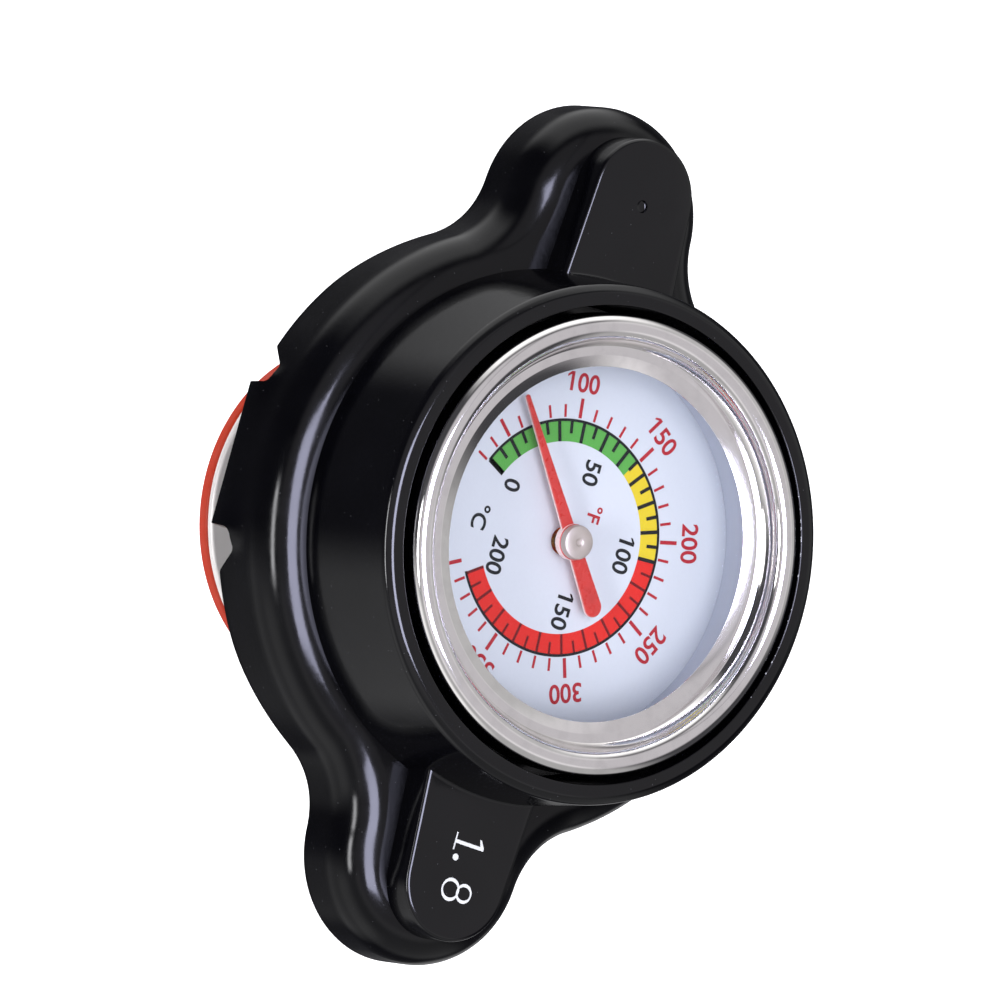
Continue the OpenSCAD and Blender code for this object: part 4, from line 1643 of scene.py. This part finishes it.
@dataclass
class DialFace:
    """The printed dial: a coloured band with its scale, and plain figures for two units."""

    hole_r: float = 1.1
    shift: Point2 = (0.18, 0.3)
    zero: float = 64.3
    per_degree: float = -1.503
    full: int = 200
    band_in: float = 7.52
    band_out: float = 9.2
    line_w: float = 0.22
    outer_in: float = 9.42
    inner_type: float = 1.5
    outer_type: float = 1.55
    outer_type_r: float = 12.2
    unit_type: float = 1.3
    unit_at: Point2 = (2.6, -2.5)
    ink: float = 0.012
    span: Span = field(default_factory=lambda: Span.of("dial_plate"))

    def angle(self, celsius: float) -> float:
        """Return the dial angle of a temperature, in degrees."""
        return self.zero + self.per_degree * celsius

    def fahrenheit(self, value: float) -> float:
        """Return the dial angle of a temperature on the outer scale, in degrees."""
        return self.angle((value - 32) / 1.8)

    def arc_band(self, name: str, finish: Finish, start: float, end: float, inner: float, outer: float,
                 level: int) -> bpy.types.Object:
        """Print a curved band.

        Args:
            name: The piece's name.
            finish: Its ink.
            start: Angle at which it starts, in degrees.
            end: Angle at which it ends, in degrees.
            inner: Inner radius.
            outer: Outer radius.
            level: How many layers of ink lie under it.

        Returns:
            The new object.
        """
        steps = max(2, round(abs(end - start) / 2))
        low = self.span.high + level * self.ink
        section = [(inner, low), (outer, low), (outer, low + self.ink), (inner, low + self.ink)]
        turns = [math.radians(start + (end - start) * step / steps) for step in range(steps + 1)]
        loops = [[(radius * math.cos(turn), radius * math.sin(turn), z) for radius, z in section]
                 for turn in turns]
        return loft(name, loops, finish)

    def band(self) -> None:
        """Print the three colours of the band and its outline."""
        colours = ((INK_GREEN, "dial_band_green", 0, 65), (INK_YELLOW, "dial_band_yellow", 65, 100),
                   (INK_WARM, "dial_band_red", 100, self.full))
        for ink, name, start, end in colours:
            stripe = self.arc_band(name, ink, self.angle(start), self.angle(end),
                                   self.band_in, self.band_out, 0)
            self.set_print(stripe)
        half = self.line_w / 2
        edge = self.arc_band("dial_band_edge", INK_BLACK, self.angle(-0.6), self.angle(self.full + 0.6),
                             self.band_out - half, self.band_out + half, 1)
        self.set_print(edge)

    def ticks(self) -> None:
        """Print the ticks of both scales."""
        low, wide = self.span.high + self.ink, self.band_out - self.band_in
        half, short = self.full // 20, 0.62 * wide
        five_in, step = self.band_out - short, 10 * self.per_degree
        rings = (
            ("dial_tens", INK_BLACK, half + 1, self.zero, step, self.band_in, wide, 0.3, low),
            ("dial_fives", INK_BLACK, half, self.angle(5), step, five_in, short, 0.28, low),
            ("dial_hot_tens", INK_DARK_RED, half, self.angle(110), step, self.band_in, wide, 0.22, low),
            ("dial_hot_fives", INK_DARK_RED, half, self.angle(105), step, five_in, short, 0.2, low),
            ("dial_start", INK_BLACK, 1, self.angle(-0.3), step, self.band_in, wide, 0.42, low),
            ("dial_fine", INK_RED, 38, self.fahrenheit(30), step / 1.8, self.outer_in, 1.0, 0.22,
             self.span.high),
            ("dial_coarse", INK_RED, 8, self.fahrenheit(50), 5 * step / 1.8, self.outer_in, 1.56, 0.3, low))
        for name, ink, count, start, turn, inner, length, width, height in rings:
            self.set_print(tick_ring(name, ink, count, start, turn, inner, length, width, height, self.ink))

    def figures(self) -> None:
        """Print the plain figures of both scales."""
        low = self.span.high
        inner = (("0", 6.25, 65.5), ("50", 5.69, -12.2), ("100", 6.1, -88.3), ("150", 5.9, -160.8),
                 ("200", 6.1, 119.4), ("°C", 7.78, 94.1))
        black = [lettering(words, self.inner_type, 180.0, self.spot(radius, turn), low, self.ink, INK_BLACK)
                 for words, radius, turn in inner]
        self.set_print(gather("dial_figures_inner", black))
        red: list[bpy.types.Object] = []
        for value in range(100, 351, 50):
            turn = self.fahrenheit(value)
            spot = self.spot(self.outer_type_r, turn)
            red.append(lettering(str(value), self.outer_type, turn - 90, spot, low, self.ink, INK_RED))
        red.append(lettering("°F", self.unit_type, 180.0, self.unit_at, low, self.ink, INK_RED))
        self.set_print(gather("dial_figures_outer", red))

    def set_print(self, piece: bpy.types.Object) -> None:
        """Move a printed piece to the print's own centre and set it on the cap."""
        piece.data.transform(Matrix.Translation(Vector((*self.shift, 0.0)) * MM))
        fit(piece, Body.CAP, None)

    @staticmethod
    def spot(radius: float, turn: float) -> Point2:
        """Return the point at a radius and an angle in degrees."""
        return radius * math.cos(math.radians(turn)), radius * math.sin(math.radians(turn))

    def build(self) -> None:
        """Make the dial and everything printed on it."""
        ring_piece("dial_skin", "dial_plate", self.hole_r, DIAL_WHITE, 0.06, Body.CAP, "dial_white", 200)
        self.band()
        self.ticks()
        self.figures()


@dataclass
class Needle:
    """The pointer: a stamped red blade on a boss, with a steel hub cap on the spindle."""

    rest: float = 38.6
    tip: float = 12.4
    tip_hw: float = 0.22
    root_hw: float = 0.62
    tail: float = 6.3
    tail_r: float = 0.8
    blade_t: float = 0.3
    boss_r: float = 1.42
    hub_r: float = 1.35
    bore: float = 0.5
    soft: float = 0.06
    span: Span = field(default_factory=lambda: Span.of("pointer"))
    cap: Span = field(default_factory=lambda: Span.of("pointer_hub"))

    def plan(self, inset: float) -> list[Point2]:
        """Draw the blade along +X.

        Args:
            inset: How far inside its outline the plan lies.

        Returns:
            The plan's points.
        """
        steps = 24
        end_x, round_r = self.tail_r - self.tail, self.tail_r - inset
        turns = [math.pi / 2 + math.pi * step / steps for step in range(steps + 1)]
        tail = [(end_x + round_r * math.cos(turn), round_r * math.sin(turn)) for turn in turns]
        tip_hw, root_hw = self.tip_hw - inset, self.root_hw - inset
        nose = [(self.tip - inset - tip_hw * (1 - math.cos(turn)), tip_hw * math.sin(turn))
                for turn in (math.pi * (step / 8 - 0.5) for step in range(9))]
        return [*tail, (0.0, -root_hw), *nose, (0.0, root_hw)]

    def blade(self) -> bpy.types.Object:
        """Stamp the blade along +X.

        Returns:
            The blade as a solid.
        """
        middle = (self.span.low + self.span.high) / 2
        half, soft = self.blade_t / 2, self.soft
        rows = ((soft, -half), (0.0, soft - half), (0.0, half - soft), (soft, half))
        loops = [[(x, y, middle + z) for x, y in self.plan(inset)] for inset, z in rows]
        return loft("needle_blade", loops, NEEDLE_RED, 25.0)

    def build(self) -> None:
        """Make the pointer and its hub cap and set them on the needle."""
        blade = self.blade()
        wall = rounded(ring_corners(self.bore, self.boss_r, self.span.low, self.span.high, 0.1))
        boss = revolve("boss", wall, NEEDLE_RED, 64)
        combine(blade, [(Cut.JOIN, boss)], 30.0)
        blade.data.transform(Matrix.Rotation(math.radians(self.rest), 4, "Z"))
        fit(blade, Body.NEEDLE, "pointer_red", "pointer")
        cap = self.cap
        dish = [(0.0, cap.high - 0.16), (0.2, cap.high - 0.13), (0.32, cap.high - 0.02), (0.4, cap.high),
                (self.hub_r - 0.22, cap.high), (self.hub_r - 0.07, cap.high - 0.07),
                (self.hub_r, cap.high - 0.22), (self.hub_r, cap.low + 0.05), (self.hub_r - 0.05, cap.low),
                (0.0, cap.low)]
        fit(revolve("needle_hub", dish, HUB_METAL, 96), Body.NEEDLE, "hub_steel", "pointer_hub")
        dress(PLATED, "spindle")


@dataclass
class Probe:
    """The probe under the gauge: its tube, its closed tip and the bimetal coil inside."""

    stem_r: float = 2.5
    stem_t: float = 0.4
    tip_gap: float = 0.05
    coil_r: float = 1.5
    coil_wire: float = 0.5
    coil_turns: float = 12.0
    nut_in: float = 4.5
    stem: Span = field(default_factory=lambda: Span.of("probe_stem"))
    tip: Span = field(default_factory=lambda: Span.of("probe_tip"))
    coil: Span = field(default_factory=lambda: Span.of("bimetal_coil"))
    nut: Span = field(default_factory=lambda: Span.of("stem_nut"))

    def tip_section(self) -> list[Point2]:
        """Draw the tip: a dome, a short land and a spigot that goes up into the tube.

        Returns:
            Radii and heights of the section's points.
        """
        seat = self.tip.low + self.stem_r
        dome = [(self.stem_r * math.sin(turn), seat - self.stem_r * math.cos(turn))
                for turn in quarter_turns(16)]
        spigot = self.stem_r - self.stem_t - self.tip_gap
        return [*dome, (spigot, seat), (spigot, self.tip.high), (0.0, self.tip.high)]

    def hexagon(self) -> bpy.types.Object:
        """Make the nut with its corners turned off on both faces.

        Returns:
            The nut as a solid.
        """
        across = self.nut.radius * math.cos(math.pi / 6)
        low, high = self.nut.low, self.nut.high
        block = prism("stem_nut_skin", circle(self.nut.radius, 6), low, high, BRASS)
        drop = (self.nut.radius - across) * math.tan(math.radians(30))
        past = self.nut.radius + 0.02
        keep = revolve("keep", [(self.nut_in, low), (across, low), (past, low + drop), (past, high - drop),
                                (across, high), (self.nut_in, high)], BRASS, 96)
        combine(block, [(Cut.KEEP, keep)])
        return block

    def build(self) -> None:
        """Make the probe's pieces and set them on the cap."""
        tube = ring_corners(self.stem_r - self.stem_t, self.stem_r, self.stem.low, self.stem.high, 0.05)
        fit(revolve("probe_stem_skin", rounded(tube), PLATED, 96), Body.CAP, "bright_steel", "probe_stem")
        fit(revolve("probe_tip_skin", self.tip_section(), PLATED, 96), Body.CAP, "bright_steel", "probe_tip")
        strip = coil_spring("bimetal_coil_skin", COPPERY, self.coil_r, self.coil_wire, self.coil.low,
                            self.coil.high, self.coil_turns, 0.25, 10)
        fit(strip, Body.CAP, "brass", "bimetal_coil")
        fit(self.hexagon(), Body.CAP, "brass", "stem_nut")
        dress(BRASS, "spindle_bush", "stem_collar")


@dataclass
class ValveGroup:
    """Everything under the shell: seals, spring cage, springs and the two valves."""

    collar_r: float = 4.5
    cage_in: float = 6.3
    cage_r: float = 7.1
    cage_t: float = 0.6
    cage_lip_in: float = 5.6
    cage_lip_h: float = 0.8
    main_r: float = 9.2
    main_wire: float = 1.8
    main_turns: float = 5.25
    slip: float = 0.05
    lift: float = 3.5
    drop: float = 2.0
    seat_in: float = 14.6
    sleeve_in: float = 2.55
    sleeve_r: float = 3.3
    plate_in: float = 3.35
    crimp_h: float = 0.4
    crimp_in: float = 4.1
    crimp_r: float = 4.85
    plate_t: float = 0.6
    port_x: float = 6.9
    port_r: float = 0.8
    ports: int = 6
    vacuum_coil_r: float = 4.0
    vacuum_wire: float = 0.5
    vacuum_turns: float = 4.0
    vacuum_disc: float = 0.7
    seal_in: float = 5.2

    def port_tools(self, low: float, high: float, finish: Finish) -> list[tuple[Cut, bpy.types.Object]]:
        """Make the blocks that cut the vent ports.

        Args:
            low: Lower face of the piece that is cut.
            high: Its upper face.
            finish: Its finish.

        Returns:
            What to do, and the block to do it with.
        """
        return [(Cut.REMOVE, prism("port", circle(self.port_r, 32, x, y), low - 1, high + 1, finish))
                for x, y in circle(self.port_x, self.ports)]

    def neck_seal(self) -> None:
        """Make the spring disc and the upper gasket."""
        disc = Span.of("spring_disc")
        hole = self.collar_r + self.slip
        rim = rounded([Corner(hole, disc.low, 0.05), Corner(disc.radius, disc.low, 0.2),
                       Corner(disc.radius, disc.high, 0.2), Corner(hole, disc.high, 0.05)])
        fit(revolve("spring_disc_skin", rim, PLATED), Body.CAP, "bright_steel", "spring_disc")
        ring_piece("upper_gasket_skin", "upper_gasket", self.seat_in, BLACK_RUBBER, 0.25,
                   Body.CAP, "black_rubber")

    def cage(self) -> None:
        """Make the spring cage, its clip and the main spring."""
        span = Span.of("spring_cage")
        under = span.high - self.cage_t
        lip_top = span.low + self.cage_lip_h
        hole = self.collar_r + self.slip
        section = rounded([
            Corner(hole, span.high, 0.05), Corner(span.radius, span.high, 0.25),
            Corner(span.radius, under, 0.15), Corner(self.cage_r, under, 0.5),
            Corner(self.cage_r, span.low, 0.5), Corner(self.cage_lip_in, span.low, 0.1),
            Corner(self.cage_lip_in, lip_top, 0.1), Corner(self.cage_in, lip_top),
            Corner(self.cage_in, under), Corner(hole, under, 0.05)])
        fit(revolve("spring_cage_skin", section, PLATED), Body.CAGE, "bright_steel", "spring_cage")
        ring_piece("cage_clip_skin", "cage_clip", self.collar_r, SPRING_WIRE, 0.1, Body.CAP, "spring_steel")
        coil = Span.of("main_spring")
        spring = coil_spring("main_spring_skin", SPRING_WIRE, self.main_r, self.main_wire,
                             coil.low, coil.high, self.main_turns, 0.6)
        fit(spring, Body.CAGE, "spring_steel", "main_spring")
        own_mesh(spring)

    def pressure_valve(self) -> None:
        """Make the pressure valve's plate, its orange gasket and the retainer under it."""
        plate, gasket = Span.of("valve_plate"), Span.of("lower_gasket")
        low = plate.high - self.plate_t
        crimp = plate.low + self.crimp_h
        section = rounded([
            Corner(self.plate_in, plate.low, 0.05), Corner(self.crimp_r, plate.low, 0.15),
            Corner(self.crimp_r, crimp, 0.1), Corner(self.crimp_in, crimp, 0.1),
            Corner(self.crimp_in, low), Corner(plate.radius, low, 0.15),
            Corner(plate.radius, plate.high, 0.35), Corner(self.plate_in, plate.high, 0.05)])
        disc = revolve("valve_plate_skin", section, ZINC, 200)
        combine(disc, self.port_tools(low, plate.high, ZINC))
        fit(disc, Body.PRESSURE, "bright_steel", "valve_plate")
        rim = rounded([Corner(self.crimp_in, gasket.low, 0.05), Corner(gasket.radius, gasket.low, 0.3),
                       Corner(gasket.radius, gasket.high, 0.3), Corner(self.crimp_in, gasket.high, 0.05)])
        seal = revolve("lower_gasket_skin", rim, SILICONE, 240)
        combine(seal, self.port_tools(gasket.low, gasket.high, SILICONE))
        fit(seal, Body.PRESSURE, "orange_silicone", "lower_gasket")
        retainer = Span.of("gasket_retainer")
        keeper = revolve("gasket_retainer_skin", rounded(
            ring_corners(self.crimp_in, retainer.radius, retainer.low, retainer.high, 0.12)), PLATED)
        combine(keeper, self.port_tools(retainer.low, retainer.high, PLATED))
        fit(keeper, Body.PRESSURE, "bright_steel", "gasket_retainer")
        dress(PLATED, "valve_hub")

    def vacuum_valve(self) -> None:
        """Make the vacuum valve with its seal and its light spring."""
        span = Span.of("vacuum_valve")
        disc_top = span.low + self.vacuum_disc
        section = rounded([
            Corner(self.sleeve_in, span.low, 0.1), Corner(span.radius, span.low, 0.25),
            Corner(span.radius, disc_top, 0.1), Corner(self.sleeve_r, disc_top, 0.2),
            Corner(self.sleeve_r, span.high, 0.1), Corner(self.sleeve_in, span.high, 0.1)])
        fit(revolve("vacuum_valve_skin", section, BRASS), Body.VACUUM, "brass", "vacuum_valve")
        ring_piece("vacuum_seal_skin", "vacuum_seal", self.seal_in, BLACK_RUBBER, 0.2,
                   Body.VACUUM, "black_rubber")
        dress(SPRING_WIRE, "vacuum_clip")
        coil = Span.of("vacuum_spring")
        spring = coil_spring("vacuum_spring_skin", SPRING_WIRE, self.vacuum_coil_r, self.vacuum_wire,
                             coil.low, coil.high, self.vacuum_turns, 0.25, 10)
        fit(spring, Body.PRESSURE, "spring_steel", "vacuum_spring")
        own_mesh(spring)

    def build(self) -> None:
        """Make every piece of the valve group."""
        self.neck_seal()
        self.cage()
        self.pressure_valve()
        self.vacuum_valve()


@dataclass
class WingScrews:
    """The two screws that hold the housing's arms on the shell, one under each wing."""

    screw_x: float = 27.15
    thread_r: float = 1.25
    head_h: float = 1.3
    head_flat: float = 0.7
    head_edge: float = 0.5
    recess: float = 0.7
    slot_w: float = 0.62
    span: Span = field(default_factory=lambda: Span.of("wing_screws"))

    def screw(self) -> bpy.types.Object:
        """Make one screw on the cap's axis, head down.

        Returns:
            The screw as a solid.
        """
        head_r = self.span.radius - self.screw_x
        low, high = self.span.low, self.span.high
        neck = low + self.head_h
        section = rounded([
            Corner(0.0, low), Corner(head_r * self.head_flat, low, 0.3),
            Corner(head_r, low + self.head_edge, 0.35), Corner(head_r, neck, 0.08),
            Corner(self.thread_r, neck), Corner(self.thread_r, high, 0.25), Corner(0.0, high)])
        screw = revolve("screw", section, PLATED, 64)
        tools: list[tuple[Cut, bpy.types.Object]] = []
        half, wide = self.thread_r, self.slot_w / 2
        for x, y in ((half, wide), (wide, half)):
            bar = [(-x, -y), (x, -y), (x, y), (-x, y)]
            tools.append((Cut.REMOVE, prism("slot", bar, low - 1, low + self.recess, PLATED)))
        combine(screw, tools)
        return screw

    def build(self) -> None:
        """Set a copy of the screw in each wing."""
        screw = self.screw()
        start = screw.data
        bpy.data.objects.remove(screw)
        tree = Tree("wing_screw_pair", {"Reach": self.screw_x * MM})
        ends = tree.add("GeometryNodeMeshLine", {"Count": 2})
        number = tree.add("GeometryNodeInputIndex").outputs[0]
        turn = tree.math("MULTIPLY", number, math.pi)
        spots = tree.add("GeometryNodeSetPosition",
                         {"Geometry": ends.outputs[0], "Position": tree.polar(tree["Reach"], turn, 0.0)})
        pair = tree.add("GeometryNodeInstanceOnPoints",
                        {"Points": spots.outputs[0], "Instance": tree.source.outputs["Geometry"]})
        tree.finish(pair.outputs[0], PLATED)
        fit(tree.run("wing_screw_pair", start), Body.CAP, "bright_steel", "wing_screws")


@dataclass(frozen=True)
class Glow:
    """A patch of light in the sky with soft edges, which the gloss of the part mirrors.

    Its middle and its half sizes are angles in degrees, round from +X and up from the horizon.
    """

    turn: float
    rise: float
    half: Point2
    soft: float
    radiance: float
    tint: Colour = (1.0, 1.0, 1.0)


class Sky(Board):
    """The world round the part: an even dim light with soft patches of brighter light."""

    def __init__(self, dim: Colour) -> None:
        """Start the sky.

        Args:
            dim: The even light that lies behind every patch.
        """
        self.world = bpy.data.worlds.new("sky")
        self.world.use_nodes = True
        super().__init__(self.world.node_tree)
        self.colour = self.nodes["Background"].inputs["Color"]
        ray = self.add("ShaderNodeTexCoord").outputs["Generated"]
        split = self.add("ShaderNodeSeparateXYZ")
        self.links.new(ray, split.inputs[0])
        self.turn = self.math("ARCTAN2", split.outputs[1], split.outputs[0])
        self.rise = self.math("ARCSINE", split.outputs[2])
        base = self.add("ShaderNodeCombineXYZ")
        for slot, part in zip(base.inputs, dim):
            slot.default_value = part
        self.light = base.outputs[0]

    def spread(self, off: bpy.types.NodeSocket, half: float, soft: float) -> bpy.types.NodeSocket:
        """Return how much of a patch shows at an angle from its middle."""
        start, end = math.radians(half - soft), math.radians(half + soft)
        return self.ramp(self.math("ABSOLUTE", off), start, end, 1.0, 0.0, Ease.SOFT)

    def add_glow(self, glow: Glow) -> None:
        """Lay one patch over what is there.

        Args:
            glow: The patch.
        """
        across = self.math("SUBTRACT", self.turn, math.radians(glow.turn))
        near = self.math("WRAP", across, math.pi, -math.pi)
        up = self.math("SUBTRACT", self.rise, math.radians(glow.rise))
        share = self.math("MULTIPLY", self.spread(near, glow.half[0], glow.soft),
                          self.spread(up, glow.half[1], glow.soft))
        total = self.add("ShaderNodeVectorMath", operation="MULTIPLY_ADD")
        self.links.new(share, total.inputs[0])
        total.inputs[1].default_value = tuple(glow.radiance * part for part in glow.tint)
        self.links.new(self.light, total.inputs[2])
        self.light = total.outputs[0]

    def hang(self) -> None:
        """Use the sky in the scene."""
        self.links.new(self.light, self.colour)
        bpy.context.scene.world = self.world


@dataclass(frozen=True)
class Lamp:
    """A soft rectangular light that looks at the part, for its matt surfaces or for its gloss."""

    name: str
    direction: Point3
    distance: float
    size: Point2
    radiance: float
    tint: Colour = (1.0, 1.0, 1.0)
    mirrored: bool = False

    def build(self, aim: Vector) -> None:
        """Hang the light.

        Args:
            aim: The point that it looks at, in metres.
        """
        data = bpy.data.lights.new(self.name, "AREA")
        data.shape = "RECTANGLE"
        data.size, data.size_y = self.size
        data.energy = self.radiance * math.pi * self.size[0] * self.size[1]
        data.color = self.tint
        lamp = add_object(self.name, data)
        ray = Vector(self.direction).normalized()
        lamp.location = aim + ray * self.distance
        lamp.rotation_euler = ray.to_track_quat("Z", "Y").to_euler()
        lamp.visible_camera = False
        lamp.visible_glossy = self.mirrored
        lamp.visible_diffuse = not self.mirrored


@dataclass
class Studio:
    """The camera at the photograph's angle, the pale floor and the soft lights."""

    eye: Point3 = (-0.162417, 0.799733, 1.197615)
    right: Point3 = (0.26334, -0.78562, 0.55987)
    up: Point3 = (0.95797, 0.28141, -0.05570)
    lens: float = 666.9
    sensor: float = 36.0
    clip: Point2 = (0.05, 50.0)
    floor_drop: float = 0.3
    floor_half: float = 6.0
    aim: Point3 = (0.0, 0.0, 0.008)
    dim: Colour = (0.06, 0.06, 0.066)
    key: Point3 = (-0.1, 0.235, 1.0)

    def camera(self) -> None:
        """Set the camera."""
        data = bpy.data.cameras.new("camera")
        data.sensor_fit = "HORIZONTAL"
        data.sensor_width = self.sensor
        data.lens = self.lens
        data.clip_start, data.clip_end = self.clip
        camera = add_object("camera", data)
        right = Vector(self.right).normalized()
        back = right.cross(Vector(self.up)).normalized()
        axes = Matrix((right, back.cross(right), back)).transposed().to_4x4()
        camera.matrix_world = Matrix.Translation(Vector(self.eye)) @ axes
        bpy.context.scene.camera = camera

    def floor(self) -> None:
        """Lay the floor under the part."""
        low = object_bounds()[0].z - self.floor_drop
        half = self.floor_half
        mesh = bpy.data.meshes.new("floor")
        mesh.from_pydata([(-half, -half, low), (half, -half, low), (half, half, low), (-half, half, low)], [],
                         [(0, 1, 2, 3)])
        mesh.materials.append(FLOOR_PAPER.material())
        floor = add_object("floor", mesh)
        floor.visible_glossy = False
        floor.visible_shadow = False
        floor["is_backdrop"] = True

    def lights(self) -> None:
        """Hang the lamps and the sky."""
        lamps = (
            Lamp("key", self.key, 1.0, (0.8, 0.5), 5.2, (0.93, 0.95, 1.0)),
            Lamp("key_gloss", self.key, 0.9, (0.76, 0.39), 18.5, (0.74, 0.75, 1.0), True),
            Lamp("side_fill", (-0.25, 0.9, 0.35), 1.0, (0.6, 0.4), 2.2))
        for lamp in lamps:
            lamp.build(Vector(self.aim))
        sky = Sky(self.dim)
        glows = (
            Glow(180.0, 75.0, (180.0, 38.0), 8.0, 0.56, (0.99, 0.96, 1.0)),
            Glow(185.0, 15.0, (58.0, 30.0), 8.0, 0.4),
            Glow(108.0, 24.0, (15.0, 4.0), 3.0, 17.0, (0.97, 0.97, 1.0)),
            Glow(305.0, 20.0, (30.0, 20.0), 8.0, 0.5),
            Glow(5.0, -12.0, (32.0, 35.0), 12.0, 1.3),
            Glow(150.0, -20.0, (35.0, 32.0), 12.0, 0.62),
            Glow(250.0, -40.0, (14.0, 12.0), 6.0, 0.5))
        for glow in glows:
            sky.add_glow(glow)
        sky.hang()
        bpy.context.scene.view_settings.view_transform = "Standard"

    def build(self) -> None:
        """Set up the camera, the floor and the lights."""
        self.camera()
        self.floor()
        self.lights()


def main() -> None:
    """Build the part's looks in order."""
    logging.basicConfig(level=logging.INFO, format="%(message)s")
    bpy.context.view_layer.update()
    Studio().build()
    steps: tuple[Callable[[], None], ...] = (
        CapShell().build, GaugeHousing().build, Gauge().build, DialFace().build, Needle().build,
        Probe().build, ValveGroup().build, WingScrews().build)
    for step in steps:
        step()


if __name__ == "__main__":
    main()
